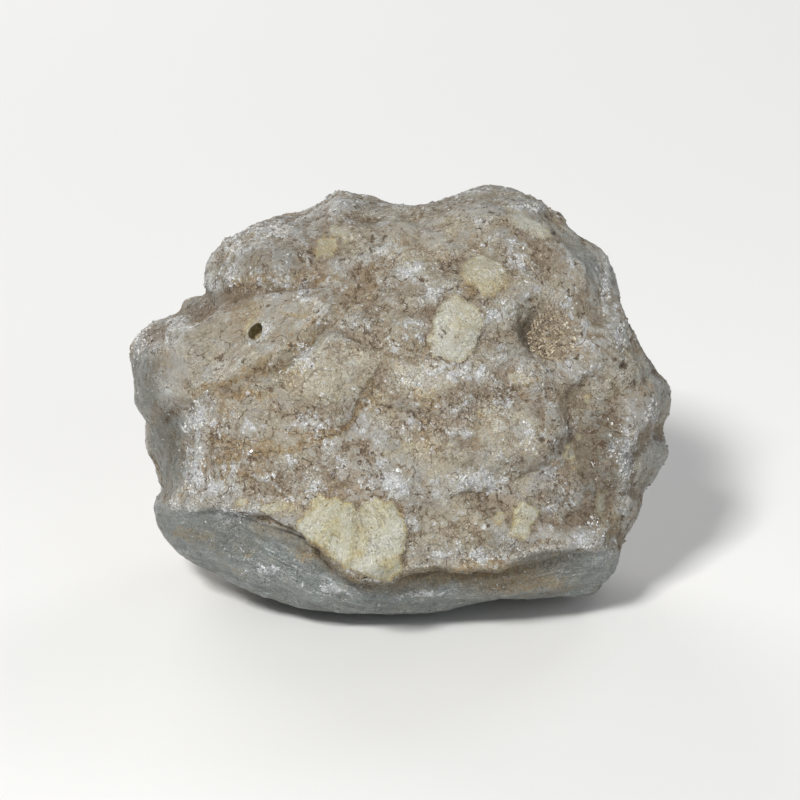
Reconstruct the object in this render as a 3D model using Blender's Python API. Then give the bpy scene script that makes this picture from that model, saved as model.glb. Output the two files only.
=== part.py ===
"""A whole quartz geode with its rough rind showing, resting on the worn flat of its underside.

The stone is one closed body. Its front is laid out on a face plane that leans back from upright. A place on
that plane is given as (across, up) in millimetres from the middle of the face, and out is the distance from
it towards the viewer. The same plane, seen from behind, carries the forms of the back.
"""

import math

import bmesh
import bpy
import numpy as np
from mathutils import Euler, Vector, noise

MM = 0.001

# Driving dimensions, in millimetres and degrees
FACE_LEAN = 20.0
FACE_MIDDLE = (-0.65, 2.18, 53.0)
FRONT_DEPTH = 51.0
BACK_DEPTH = 47.0
BOXINESS = 2.45
# The outline and the forms of the front are given as they are seen from this far in front of the face
VIEW_DISTANCE = 900.0

# The stone's outline on the face plane, anticlockwise from the right
OUTLINE = [
    (76.0, -1.0), (73.5, 5.5), (68.0, 10.0), (64.5, 16.5), (59.5, 23.0), (60.5, 28.5), (58.0, 36.5),
    (54.0, 41.5), (47.0, 47.5), (43.0, 52.0), (34.5, 55.0), (28.5, 58.5), (19.0, 58.0), (11.5, 53.5),
    (4.5, 51.0), (-3.5, 54.0), (-12.5, 55.0), (-17.5, 56.0), (-22.0, 54.0), (-30.0, 50.0), (-39.0, 49.5),
    (-45.5, 44.0), (-48.0, 37.5), (-51.0, 30.5), (-51.5, 29.5), (-60.0, 28.0), (-60.5, 23.5), (-64.0, 23.5),
    (-69.0, 19.5), (-75.0, 14.5), (-74.5, 11.5), (-69.5, 1.0), (-70.0, -4.0), (-71.0, -12.0), (-67.5, -18.5),
    (-66.0, -26.0), (-68.0, -30.0), (-67.0, -36.0), (-62.0, -43.5), (-52.0, -48.0), (-45.0, -54.5),
    (-32.5, -59.5), (-14.5, -65.0), (1.0, -65.0), (16.0, -62.0), (31.0, -58.5), (44.5, -57.5), (52.5, -56.5),
    (57.0, -50.0), (60.0, -42.5), (65.5, -33.0), (67.5, -26.0), (72.0, -19.5), (75.0, -13.5), (73.0, -8.0),
]
# How far the outline is smoothed towards the middle of the face, in degrees, and where each share of it
# begins and ends, in degrees from the middle
NEAR_RIM_BLUR = 8.0
MID_FACE_BLUR = 30.0
MID_FACE_RANGE = (18.0, 64.0)
RIM_START_IN_FRONT = 68.0
RIM_START_BEHIND = 74.0
RIM_END = 88.0
# Over what distance out from the outline's plane the forms of the front and of the back come in
FACE_FADE = (0.0, 12.0)
NEAR_RIM_FADE = (-8.0, 6.0)

# Rounded swellings: (across, up, half length, half width, turn in degrees, rise)
FRONT_LUMPS = [
    (-37.0, 39.0, 19.0, 11.0, 14.0, 3.4),
    (-66.0, 5.0, 12.0, 20.0, 0.0, 1.8),
    (-19.0, 6.0, 17.0, 10.0, 16.0, 1.6),
    (4.0, 4.0, 14.0, 10.0, -14.0, 1.8),
    (26.0, 50.0, 17.0, 9.0, -20.0, 2.0),
    (-17.0, 52.0, 9.0, 6.0, 0.0, 1.6),
    (51.0, 34.0, 9.0, 15.0, -24.0, 2.4),
    (16.0, 19.5, 9.0, 9.5, -20.0, 1.8),
    (24.0, 34.0, 8.0, 6.0, 10.0, 1.4),
    (21.0, -10.0, 22.0, 13.0, 12.0, 2.6),
    (-42.0, -20.0, 18.0, 13.0, 0.0, 2.4),
    (-5.0, -24.0, 22.0, 9.0, 4.0, 1.6),
    (33.0, -35.0, 18.0, 9.0, 12.0, 2.0),
    (55.0, -42.0, 10.0, 9.0, 50.0, 2.0),
    (-50.0, -42.0, 16.0, 8.0, -28.0, 1.6),
]
FRONT_HOLLOWS = [
    (41.0, 20.0, 14.0, 10.5, -58.0, 7.5),
    (36.5, 18.5, 7.0, 4.0, -65.0, 5.0),
    (-56.5, 25.5, 6.5, 5.0, 35.0, 3.6),
    (-10.5, 32.0, 13.0, 9.0, 30.0, 2.6),
    (31.0, 4.5, 11.0, 5.0, -52.0, 1.8),
    (5.0, 31.0, 8.0, 6.0, 20.0, 1.2),
    (-20.5, 43.5, 7.0, 6.0, 20.0, 1.6),
    (52.5, -4.0, 4.5, 11.0, -8.0, 1.2),
]
BACK_LUMPS = [
    (-22.0, 16.0, 38.0, 26.0, 20.0, 3.6),
    (38.0, -6.0, 22.0, 26.0, -20.0, 3.0),
    (-40.0, -30.0, 18.0, 12.0, 10.0, 3.0),
    (20.0, 40.0, 22.0, 12.0, -15.0, 3.0),
    (8.0, -38.0, 20.0, 10.0, 0.0, 2.0),
]
BACK_HOLLOWS = [
    (20.0, 16.0, 12.0, 8.0, 35.0, 3.2),
    (-52.0, 2.0, 9.0, 7.0, 0.0, 2.6),
    (-6.0, -20.0, 22.0, 6.0, 8.0, 2.4),
    (46.0, 30.0, 10.0, 7.0, -30.0, 2.2),
    (-30.0, 42.0, 8.0, 5.0, 15.0, 1.8),
]

# The fibrous slab on the left, which fans out from its right-hand end
FIBROUS_SLAB = [
    (-50.5, 27.0), (-44.0, 29.5), (-27.5, 31.0), (-20.0, 31.0), (-18.5, 26.5), (-21.5, 22.5), (-28.0, 16.0),
    (-36.5, 10.5), (-44.5, 5.0), (-54.0, 1.5), (-58.5, 4.5), (-63.0, 13.0), (-58.0, 20.5),
]
# Slabs and ledges that stand proud of the rest, or lie below it where the rise is negative:
# (rise, side on which it stands highest in degrees or None for all round, softness of the edge, outline)
FRONT_SLABS = [
    (2.4, 215.0, 1.8, [
        (-54.0, 31.5), (-53.0, 38.0), (-49.0, 42.5), (-41.5, 47.5), (-33.0, 49.5), (-27.5, 46.0),
        (-24.0, 39.5), (-22.0, 34.0), (-27.5, 32.0), (-38.5, 31.0), (-51.0, 29.5),
    ]),
    (1.6, 250.0, 1.2, FIBROUS_SLAB),
    (2.0, 110.0, 1.2, [
        (-27.5, 14.0), (-19.0, 19.0), (-10.5, 15.5), (-4.0, 12.0), (-9.0, 4.0), (-13.0, -5.5),
        (-21.5, -7.0), (-32.0, -3.0), (-36.5, 5.0),
    ]),
    (1.7, 275.0, 1.4, [
        (-3.5, 11.0), (5.5, 13.0), (12.5, 10.5), (19.5, 7.0), (20.0, 0.0), (15.0, -5.0), (8.5, -3.5),
        (0.0, -1.5), (-6.5, -0.5), (-7.5, 4.0),
    ]),
    (1.4, 280.0, 1.0, [
        (-28.5, -30.0), (-21.5, -26.0), (-15.0, -27.0), (-10.5, -30.0), (-5.5, -27.0), (-0.5, -30.0),
        (1.5, -38.5), (-1.0, -44.5), (-2.5, -52.0), (-11.0, -52.0), (-19.5, -48.0), (-25.5, -41.0),
    ]),
    (1.4, 45.0, 1.4, [
        (-14.0, 45.0), (-9.5, 49.5), (-2.0, 51.5), (4.0, 48.0), (3.0, 42.5), (-3.5, 39.5), (-10.5, 41.0),
    ]),
    (1.2, 100.0, 1.0, [
        (15.0, -48.5), (27.5, -48.0), (44.0, -45.0), (48.0, -46.0), (40.0, -51.5), (27.5, -53.5),
        (18.0, -52.5),
    ]),
    (-1.6, None, 1.6, [
        (41.0, 54.0), (46.5, 48.5), (52.5, 43.0), (56.0, 39.0), (57.0, 34.0), (58.5, 27.0), (54.5, 28.5),
        (51.5, 33.0), (47.0, 40.5), (42.5, 46.5), (38.5, 51.0),
    ]),
    (-3.8, None, 3.0, [
        (45.5, 2.0), (47.5, -8.5), (41.0, -18.0), (27.5, -22.5), (17.0, -27.0), (21.5, -31.0),
        (33.0, -34.0), (45.0, -37.0), (53.5, -34.0), (60.0, -27.5), (59.0, -19.5), (61.0, -11.0),
        (65.0, -4.0), (66.5, 2.0), (62.0, 6.0), (56.5, 8.0), (49.5, 6.0),
    ]),
    (-2.8, None, 3.0, [
        (-57.5, -1.0), (-58.5, -11.0), (-58.0, -19.5), (-60.0, -26.5), (-72.0, -27.5), (-76.0, -19.5),
        (-76.0, -8.5), (-68.0, -3.0),
    ]),
    (-2.2, None, 2.4, [
        (73.0, 2.5), (68.5, -5.5), (64.5, -11.0), (63.5, -19.5), (61.0, -26.5), (67.0, -28.0),
        (72.0, -20.0), (78.0, -10.0), (78.0, 0.0),
    ]),
]
BACK_SLABS = [
    (2.6, 250.0, 1.6, [
        (-56.0, 20.0), (-40.0, 34.0), (-20.0, 30.0), (-6.0, 36.0), (6.0, 20.0), (-4.0, 2.0),
        (-18.0, -8.0), (-34.0, -2.0), (-50.0, 6.0),
    ]),
    (2.0, 150.0, 1.4, [
        (16.0, 4.0), (30.0, 20.0), (46.0, 16.0), (60.0, 2.0), (54.0, -14.0), (34.0, -22.0),
        (20.0, -12.0),
    ]),
    (2.4, 70.0, 1.4, [
        (-44.0, -18.0), (-24.0, -12.0), (-4.0, -20.0), (4.0, -30.0), (-14.0, -40.0), (-36.0, -38.0),
    ]),
    (-2.0, None, 2.0, [
        (12.0, -24.0), (30.0, -26.0), (48.0, -20.0), (58.0, -30.0), (44.0, -42.0), (20.0, -40.0),
    ]),
    (1.6, 20.0, 1.4, [
        (-6.0, 46.0), (10.0, 34.0), (28.0, 34.0), (34.0, 46.0), (16.0, 54.0),
    ]),
]

# Creases between the swellings: (half width, depth, places along it)
FRONT_CREASES = [
    (1.5, 1.3, [(-54.0, 28.5), (-44.0, 29.5), (-30.5, 31.0), (-19.5, 31.5)]),
    (1.5, 1.2, [(-17.5, 24.0), (-27.5, 15.5), (-36.5, 10.0), (-44.5, 4.5), (-56.0, 0.5)]),
    (1.3, 0.8, [(-47.0, -15.0), (-37.0, -14.5), (-27.5, -11.5), (-14.0, -7.0)]),
    (1.3, 1.0, [(-15.0, -8.5), (-14.0, -6.0), (-11.0, -1.5), (-7.5, 5.0), (-3.0, 12.0), (8.5, 14.0)]),
    (1.3, 0.6, [(-5.5, -2.0), (0.0, -3.0), (7.0, -5.0), (11.0, -7.0), (19.5, -2.0), (26.0, 3.0)]),
    (2.2, 2.2, [(-61.5, -3.0), (-60.5, -8.5), (-60.0, -15.0), (-59.5, -22.0), (-60.5, -27.5)]),
    (1.4, 1.2, [(71.0, 7.5), (66.0, 4.0), (62.0, 0.0)]),
    (1.8, 1.8, [(76.0, -8.0), (69.0, -11.0), (65.0, -16.0)]),
    (1.4, 0.9, [(-20.0, 52.0), (-8.0, 50.5), (6.0, 50.0), (14.0, 53.0)]),
    (1.2, 0.8, [(-12.0, -29.0), (-11.0, -36.0), (-14.0, -43.0)]),
]
BACK_CREASES = [
    (1.6, 1.4, [(-58.0, 14.0), (-46.0, 3.0), (-28.0, -5.0), (-13.0, -13.0), (4.0, -19.0)]),
    (1.5, 1.3, [(12.0, 48.0), (17.0, 34.0), (13.0, 20.0), (24.0, 7.0), (44.0, 3.0)]),
    (1.6, 1.1, [(18.0, -30.0), (34.0, -35.0), (50.0, -29.0)]),
]

# The lower edge of the crust, above the grey band, from left to right, and how far the band is set back there
CRUST_EDGE = [
    (-75.0, -27.0), (-67.0, -28.5), (-56.5, -31.0), (-41.5, -32.0), (-30.0, -35.5), (-23.5, -40.0),
    (-19.5, -44.0), (-11.0, -48.3), (-2.5, -49.3), (5.0, -47.0), (15.5, -47.0), (28.0, -45.0), (36.5, -43.0),
    (47.0, -41.0), (55.0, -42.0),
]
SET_BACK = [
    (-75.0, 0.6), (-52.0, 2.0), (-31.0, 3.6), (-20.0, 5.6), (-8.0, 5.6), (2.0, 4.6), (20.0, 4.2), (36.0, 3.6),
    (47.0, 2.2), (56.0, 0.0),
]
CRUST_LIP_RISE = 1.6
CRUST_LIP_WIDTH = 6.0
FULL_LIP_DEPTH = 2.0
UNDERCUT_HEIGHT = 1.8
BAND_RUN_OUT = 17.0
# Small steps along the band, each this far below the crust's edge, and their drop
BAND_STEPS = [(5.5, 0.7), (11.0, 0.8)]
BAND_STEP_HEIGHT = 1.6

# Unevenness of the whole rind: (size, rise), and flat-faced grains: (size, slant)
RIND_SWELLS = [(30.0, 1.8), (13.0, 1.2), (6.5, 0.7)]
RIND_FACETS = [(19.0, 0.09), (9.0, 0.13)]
FACET_EDGE = 0.22
LEAN_SPREAD = 7.0
RIND_SEED = Vector((11.3, 4.7, 8.1))
# How far, and over what length, the forms' edges stray from their outlines
STRAY_SIZES = [(17.0, 2.2), (7.0, 1.2)]
# The grey band and the fibrous slab are smoother than the crust: their share of the rind's unevenness
BAND_ROUGH_SHARE = 0.5
BAND_ROUGH_FADE = 4.0
SLAB_ROUGH_SHARE = 0.5

# Below this height the underside draws in towards the patch that it rests on
UNDERSIDE_TOP = 15.0
UNDERSIDE_DRAW = 0.0144
# Points this near the floor are part of the flat base
BASE_SNAP = 0.1

# The small open pit on the left of the face
PIT_PLACE = (-39.0, 18.9)
PIT_LENGTH = 4.6
PIT_WIDTH = 2.9
PIT_MOUTH_FLARE = 1.2
PIT_FOOT_TAPER = 0.7
PIT_DEPTH = 8.0
PIT_TURN = 62.0
# How far the pit follows the surface's own direction rather than going straight into the face
PIT_LEAN_SHARE = 0.4
PIT_SIDES = 14

# Fineness of the mesh
SPHERE_CUTS = 83
OUTLINE_STEPS = 720
FACE_COUNT = 9600

# Facets that meet at more than this angle, in degrees, keep a crisp edge between them
CRISP_EDGE = 28.0

STONE_COLOUR = (0.34, 0.30, 0.24, 1.0)
STONE_ROUGHNESS = 0.78


def clear_scene():
    for old in list(bpy.data.objects):
        bpy.data.objects.remove(old)


def face_axes():
    """The directions across, up and out of the face plane, in the stone's own frame."""
    lean = math.radians(FACE_LEAN)
    across = np.array((1.0, 0.0, 0.0))
    up = np.array((0.0, math.sin(lean), math.cos(lean)))
    out = np.array((0.0, -math.cos(lean), math.sin(lean)))
    return np.array((across, up, out))


def smooth_step(low, high, value):
    share = np.clip((value - low) / (high - low), 0.0, 1.0)
    return share * share * (3.0 - 2.0 * share)


def outline_radius(angle, blur):
    """The outline's radius at each angle, smoothed over blur degrees."""
    places = np.array(OUTLINE)
    even = np.linspace(0.0, 2.0 * math.pi, OUTLINE_STEPS, endpoint=False)
    radii = np.interp(even, np.arctan2(places[:, 1], places[:, 0]), np.hypot(*places.T), period=2.0 * math.pi)
    if blur:
        away = np.degrees(np.minimum(even, 2.0 * math.pi - even))
        weight = np.exp(-0.5 * (away / blur) ** 2)
        radii = np.real(np.fft.ifft(np.fft.fft(radii) * np.fft.fft(weight / weight.sum())))
    return np.interp(angle, even, radii, period=2.0 * math.pi)


def swollen_outline(directions):
    """The plain nodule: the outline, filled out to the front and the back, on the face plane's axes."""
    across, up, out = directions.T
    angle = np.arctan2(up, across)
    from_middle = np.hypot(across, up)
    tilt = np.degrees(np.arcsin(np.clip(from_middle, 0.0, 1.0)))
    in_front = out >= 0.0
    sharp = outline_radius(angle, 0.0)
    soft = outline_radius(angle, NEAR_RIM_BLUR)
    rounded = outline_radius(angle, MID_FACE_BLUR)
    rim_share = smooth_step(np.where(in_front, RIM_START_IN_FRONT, RIM_START_BEHIND), RIM_END, tilt)
    middle_share = smooth_step(*MID_FACE_RANGE, tilt)
    radius = rounded + (soft - rounded) * middle_share
    radius = radius + (sharp - radius) * rim_share
    power = 2.0 / BOXINESS
    radius = radius * from_middle**power
    depth = np.where(in_front, FRONT_DEPTH, -BACK_DEPTH) * np.abs(out) ** power
    return np.column_stack((radius * np.cos(angle), radius * np.sin(angle), depth))


def turned(places, across, up, degrees):
    """Places on the face plane, seen from (across, up) and turned back by degrees."""
    turn = math.radians(degrees)
    x = places[:, 0] - across
    y = places[:, 1] - up
    return x * math.cos(turn) + y * math.sin(turn), y * math.cos(turn) - x * math.sin(turn)


def swelling(places, lumps):
    rise = np.zeros(len(places))
    for across, up, half_length, half_width, degrees, height in lumps:
        x, y = turned(places, across, up, degrees)
        away = (x / half_length) ** 2 + (y / half_width) ** 2
        rise += height * np.clip(1.0 - away, 0.0, 1.0) ** 2
    return rise


def from_line(places, line):
    """Each place's distance from the line."""
    nearest = np.full(len(places), np.inf)
    for start, end in zip(line, line[1:]):
        run = np.subtract(end, start)
        offset = places[:, :2] - start
        share = np.clip(offset @ run / (run @ run), 0.0, 1.0)
        gap = offset - share[:, None] * run
        nearest = np.minimum(nearest, np.hypot(gap[:, 0], gap[:, 1]))
    return nearest


def creasing(places, creases):
    drop = np.zeros(len(places))
    for half_width, depth, line in creases:
        drop += depth * np.exp(-((from_line(places, line) / half_width) ** 2))
    return drop


def inside(places, outline):
    """Which places lie within the outline."""
    within = np.zeros(len(places), bool)
    x, y = places[:, 0], places[:, 1]
    for (x1, y1), (x2, y2) in zip(outline, outline[1:] + outline[:1]):
        if y1 == y2:
            continue
        crosses = (y1 > y) != (y2 > y)
        within ^= crosses & (x < (x2 - x1) * (y - y1) / (y2 - y1) + x1)
    return within


def slab_steps(places, slabs):
    """Slabs with stepped edges. Where a high side is named, the slab comes out of the surface towards it."""
    rise = np.zeros(len(places))
    for height, high_side, softness, outline in slabs:
        edge = from_line(places, outline + outline[:1])
        depth_in = np.where(inside(places, outline), edge, -edge)
        share = smooth_step(-softness, softness, depth_in)
        if high_side is not None:
            way = np.array((math.cos(math.radians(high_side)), math.sin(math.radians(high_side))))
            reach = np.array(outline) @ way
            share *= np.clip((places[:, :2] @ way - reach.min()) / (reach.max() - reach.min()), 0.0, 1.0)
        rise += height * share
    return rise


def crust_ledge(places):
    """The crust's lip, and the band that is set back below it."""
    edge = np.interp(places[:, 0], *np.array(CRUST_EDGE).T)
    depth = np.interp(places[:, 0], *np.array(SET_BACK).T)
    below = edge - places[:, 1]
    run_out = np.exp(-np.clip(below, 0.0, None) / BAND_RUN_OUT)
    band = depth * smooth_step(0.0, UNDERCUT_HEIGHT, below) * run_out
    ledge_share = smooth_step(0.0, FULL_LIP_DEPTH, depth)
    for start, drop in BAND_STEPS:
        band += drop * smooth_step(0.0, BAND_STEP_HEIGHT, below - start) * ledge_share
    lip = CRUST_LIP_RISE * np.exp(-((below / CRUST_LIP_WIDTH) ** 2)) * ledge_share
    return lip * (below < 0.0) - band


def rough_share(places, in_front):
    """How much of the rind's unevenness each place has."""
    below = np.interp(places[:, 0], *np.array(CRUST_EDGE).T) - places[:, 1]
    share = 1.0 - in_front * (1.0 - BAND_ROUGH_SHARE) * smooth_step(0.0, BAND_ROUGH_FADE, below)
    on_slab = inside(places, FIBROUS_SLAB) * in_front
    return share * (1.0 - on_slab * (1.0 - SLAB_ROUGH_SHARE))


def noise_at(places, size):
    spots = [Vector(place) / size + RIND_SEED * size for place in places]
    return np.array([noise.noise(spot) for spot in spots])


def strayed(places):
    """The places, shifted about a little, so that the forms' edges wander."""
    shifted = places.copy()
    for size, reach in STRAY_SIZES:
        spots = [Vector(place) / size + RIND_SEED for place in places]
        shifted += reach * np.array([noise.noise_vector(spot) for spot in spots])
    return shifted


def flat_faces(places, size, slant):
    """Grains with flat faces, each leaning its own way, that run together at their edges."""
    rise = np.empty(len(places))
    for index, place in enumerate(places):
        spot = Vector(place) / size + RIND_SEED
        distances, centres = noise.voronoi(spot)
        lean = 2.0 * noise.cell_vector(centres[0] * LEAN_SPREAD) - Vector((1.0, 1.0, 1.0))
        to_edge = min((distances[1] - distances[0]) / FACET_EDGE, 1.0)
        rise[index] = slant * size * (spot - centres[0]).dot(lean) * to_edge
    return rise


def rind(places):
    rise = sum(height * noise_at(places, size) for size, height in RIND_SWELLS)
    return rise + sum(flat_faces(places, size, slant) for size, slant in RIND_FACETS)


def mesh_points(mesh):
    points = np.empty(len(mesh.vertices) * 3, np.float32)
    mesh.vertices.foreach_get("co", points)
    return points.reshape(-1, 3).astype(float)


def mesh_normals(mesh):
    mesh.update()
    normals = np.empty(len(mesh.vertices) * 3, np.float32)
    mesh.vertices.foreach_get("normal", normals)
    return normals.reshape(-1, 3).astype(float)


def set_points(mesh, points):
    mesh.vertices.foreach_set("co", points.astype(np.float32).ravel())
    mesh.update()


def push(mesh, ways, rise):
    """Moves each vertex by its rise along its own way."""
    set_points(mesh, mesh_points(mesh) + ways * rise[:, None])


def evenly_cut_sphere():
    """A cube cut into a grid and blown up to a sphere of radius 1, its cells evened out."""
    form = bmesh.new()
    bmesh.ops.create_cube(form, size=2.0)
    bmesh.ops.subdivide_edges(form, edges=form.edges[:], cuts=SPHERE_CUTS, use_grid_fill=True)
    mesh = bpy.data.meshes.new("geode")
    form.to_mesh(mesh)
    form.free()
    points = np.tan(mesh_points(mesh) * math.pi / 4.0)
    set_points(mesh, points / np.linalg.norm(points, axis=1)[:, None])
    return mesh


def as_seen(places):
    """Places on the front, spread as they are seen from VIEW_DISTANCE in front of the face plane."""
    spread = VIEW_DISTANCE / (VIEW_DISTANCE - places[:, 2:])
    return places * np.hstack((spread, spread, np.ones_like(spread)))


def sculpt(mesh):
    """Turns the sphere into the stone, on the face plane's axes and in millimetres."""
    set_points(mesh, swollen_outline(mesh_points(mesh)))
    places = mesh_points(mesh)
    front = smooth_step(*FACE_FADE, places[:, 2])
    near_front = smooth_step(*NEAR_RIM_FADE, places[:, 2])
    back = smooth_step(*FACE_FADE, -places[:, 2])
    seen_in_front = as_seen(places)
    seen_behind = places * (-1.0, 1.0, 1.0)
    rise = front * (swelling(seen_in_front, FRONT_LUMPS) - swelling(seen_in_front, FRONT_HOLLOWS))
    rise += back * (swelling(seen_behind, BACK_LUMPS) - swelling(seen_behind, BACK_HOLLOWS))
    push(mesh, mesh_normals(mesh), rise)
    outward = mesh_normals(mesh)
    wander = strayed(places)
    seen_in_front = as_seen(wander)
    seen_behind = wander * (-1.0, 1.0, 1.0)
    rise = near_front * (slab_steps(seen_in_front, FRONT_SLABS) - creasing(seen_in_front, FRONT_CREASES))
    rise += near_front * crust_ledge(seen_in_front)
    rise += back * (slab_steps(seen_behind, BACK_SLABS) - creasing(seen_behind, BACK_CREASES))
    rise += rind(places) * rough_share(seen_in_front, near_front)
    push(mesh, outward, rise)


def stand_up(mesh):
    """Turns the face plane's axes to the stone's own, draws the underside in, and goes over to metres."""
    points = mesh_points(mesh) @ face_axes() + FACE_MIDDLE
    below = np.clip(UNDERSIDE_TOP - points[:, 2], 0.0, None)
    points[:, 2] += UNDERSIDE_DRAW * below**2
    set_points(mesh, points * MM)


def thinned(mesh):
    """The same form with fewer faces, kept where the surface bends most."""
    draft = bpy.data.objects.new("draft", mesh)
    bpy.context.collection.objects.link(draft)
    fewer = draft.modifiers.new("fewer faces", "DECIMATE")
    fewer.ratio = FACE_COUNT / (2.0 * len(mesh.polygons))
    graph = bpy.context.evaluated_depsgraph_get()
    result = bpy.data.meshes.new_from_object(draft.evaluated_get(graph))
    bpy.data.objects.remove(draft)
    return result


def cut_base(mesh):
    """Cuts the underside off flat at the floor."""
    form = bmesh.new()
    form.from_mesh(mesh)
    everything = form.verts[:] + form.edges[:] + form.faces[:]
    bmesh.ops.bisect_plane(
        form, geom=everything, dist=BASE_SNAP * MM, plane_co=(0.0, 0.0, 0.0), plane_no=(0.0, 0.0, -1.0),
        clear_outer=True,
    )
    for vertex in form.verts:
        if vertex.co.z < BASE_SNAP * MM:
            vertex.co.z = 0.0
    rim = [edge for edge in form.edges if edge.is_boundary]
    bmesh.ops.holes_fill(form, edges=rim, sides=0)
    bmesh.ops.recalc_face_normals(form, faces=form.faces[:])
    form.to_mesh(mesh)
    form.free()


def face_direction(across, up, out):
    return Vector(np.array((across, up, out)) @ face_axes())


def pit_cutter(stone, cutters):
    """A tapered oval peg, set into the face where the pit is."""
    start = (face_direction(*PIT_PLACE, 2.0 * FRONT_DEPTH) + Vector(FACE_MIDDLE)) * MM
    hit, place, normal, _ = stone.ray_cast(start, -face_direction(0.0, 0.0, 1.0))
    if not hit:
        raise ValueError("the pit's place misses the stone")
    form = bmesh.new()
    bmesh.ops.create_cone(
        form, cap_ends=True, segments=PIT_SIDES, radius1=0.5 * PIT_WIDTH * PIT_FOOT_TAPER * MM,
        radius2=0.5 * PIT_WIDTH * PIT_MOUTH_FLARE * MM, depth=2.0 * PIT_DEPTH * MM,
    )
    for vertex in form.verts:
        vertex.co.x *= PIT_LENGTH / PIT_WIDTH
    mesh = bpy.data.meshes.new("pit_cutter")
    form.to_mesh(mesh)
    form.free()
    cutter = bpy.data.objects.new("pit_cutter", mesh)
    cutters.objects.link(cutter)
    into_face = (normal * PIT_LEAN_SHARE + face_direction(0.0, 0.0, 1.0)).normalized()
    turn = Euler((0.0, 0.0, math.radians(PIT_TURN))).to_quaternion()
    cutter.rotation_mode = "QUATERNION"
    cutter.rotation_quaternion = into_face.to_track_quat("Z", "Y") @ turn
    cutter.location = place
    cutter.hide_render = True
    cutter.display_type = "WIRE"
    return cutter


def stone_material():
    material = bpy.data.materials.new("rough_quartz_rind")
    material.use_nodes = True
    shader = material.node_tree.nodes["Principled BSDF"]
    shader.inputs["Base Color"].default_value = STONE_COLOUR
    shader.inputs["Roughness"].default_value = STONE_ROUGHNESS
    shader.inputs["Metallic"].default_value = 0.0
    return material


def new_collection(name):
    collection = bpy.data.collections.new(name)
    bpy.context.scene.collection.children.link(collection)
    return collection


def main():
    clear_scene()
    parts = new_collection("quartz_geode")
    cutters = new_collection("cutters")
    mesh = evenly_cut_sphere()
    sculpt(mesh)
    stand_up(mesh)
    mesh = thinned(mesh)
    cut_base(mesh)
    mesh.name = "geode"
    mesh.materials.append(stone_material())
    mesh.shade_smooth()
    mesh.set_sharp_from_angle(angle=math.radians(CRISP_EDGE))
    stone = bpy.data.objects.new("geode", mesh)
    parts.objects.link(stone)
    bpy.context.view_layer.update()
    pit = stone.modifiers.new("pit", "BOOLEAN")
    pit.object = pit_cutter(stone, cutters)
    pit.operation = "DIFFERENCE"
    pit.solver = "EXACT"


main()
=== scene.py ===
import math

import bpy
import numpy as np
from mathutils import Matrix, Vector, noise


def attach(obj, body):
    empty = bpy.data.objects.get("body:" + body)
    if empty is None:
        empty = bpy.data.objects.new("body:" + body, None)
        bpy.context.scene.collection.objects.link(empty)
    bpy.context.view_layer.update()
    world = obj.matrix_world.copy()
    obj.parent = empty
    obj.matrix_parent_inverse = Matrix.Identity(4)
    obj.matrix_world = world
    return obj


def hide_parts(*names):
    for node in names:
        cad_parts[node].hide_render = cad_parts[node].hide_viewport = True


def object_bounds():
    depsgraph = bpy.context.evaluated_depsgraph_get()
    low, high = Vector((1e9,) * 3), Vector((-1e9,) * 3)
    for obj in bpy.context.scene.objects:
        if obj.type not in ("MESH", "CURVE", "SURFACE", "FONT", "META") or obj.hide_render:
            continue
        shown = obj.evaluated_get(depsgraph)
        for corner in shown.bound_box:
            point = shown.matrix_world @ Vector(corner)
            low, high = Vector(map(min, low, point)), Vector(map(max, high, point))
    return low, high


# The finish of a whole quartz geode: its rough rind, its chalky crusts, its grey band and its loose grains.
#
# The front is laid out on a face plane that leans back from upright. A place on it is (across, up) in
# millimetres from the middle of the face, as it is seen from the viewing distance, and out is the distance
# from the plane towards the viewer.

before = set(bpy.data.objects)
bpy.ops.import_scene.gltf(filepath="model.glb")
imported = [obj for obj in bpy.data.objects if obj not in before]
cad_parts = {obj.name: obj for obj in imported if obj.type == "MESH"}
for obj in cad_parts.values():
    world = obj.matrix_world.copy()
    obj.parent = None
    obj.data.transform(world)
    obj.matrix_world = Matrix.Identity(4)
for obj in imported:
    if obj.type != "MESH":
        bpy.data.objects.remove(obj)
cad_box = [list(corner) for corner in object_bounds()]

MM = 0.001

# The face plane

FACE_LEAN = 20
FACE_MIDDLE = (-0.65, 2.18, 53.0)
VIEW_DISTANCE = 900
LEAN = math.radians(FACE_LEAN)
FACE_AXES = np.array((
    (1, 0, 0),
    (0, math.sin(LEAN), math.cos(LEAN)),
    (0, -math.cos(LEAN), math.sin(LEAN)),
))
# The stone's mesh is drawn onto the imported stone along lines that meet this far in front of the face's
# middle, and rounds of evening take out its facets
LINES_MEET = 12
LINE_LENGTH = 160
CUT_LEVELS = 7
# How far out from the face plane the front fades in, for its marks and for its grains
FRONT_FADE = (-8.0, 6.0)
GRAINS_FADE = (-20.0, 10.0)
# What is lower than this after the relief lies on the resting flat
FLAT_REACH = 0.25
# The rind's grains with flat faces: (share, size, slant, seed)
FACET_GRAINS = [(0.55, 6.2, 0.16, 1.0), (0.42, 3.1, 0.20, 2.0), (0.5, 1.6, 0.26, 3.0)]
# The ridges of the fibres: (height, width, length)
FIBRE_RIDGES = [(0.34, 1.9, 26.0), (0.14, 0.95, 14.0)]
FACET_ROUNDS = 9
PIT_ROUNDS = 60
POCKET_ROUNDS = 26

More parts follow.
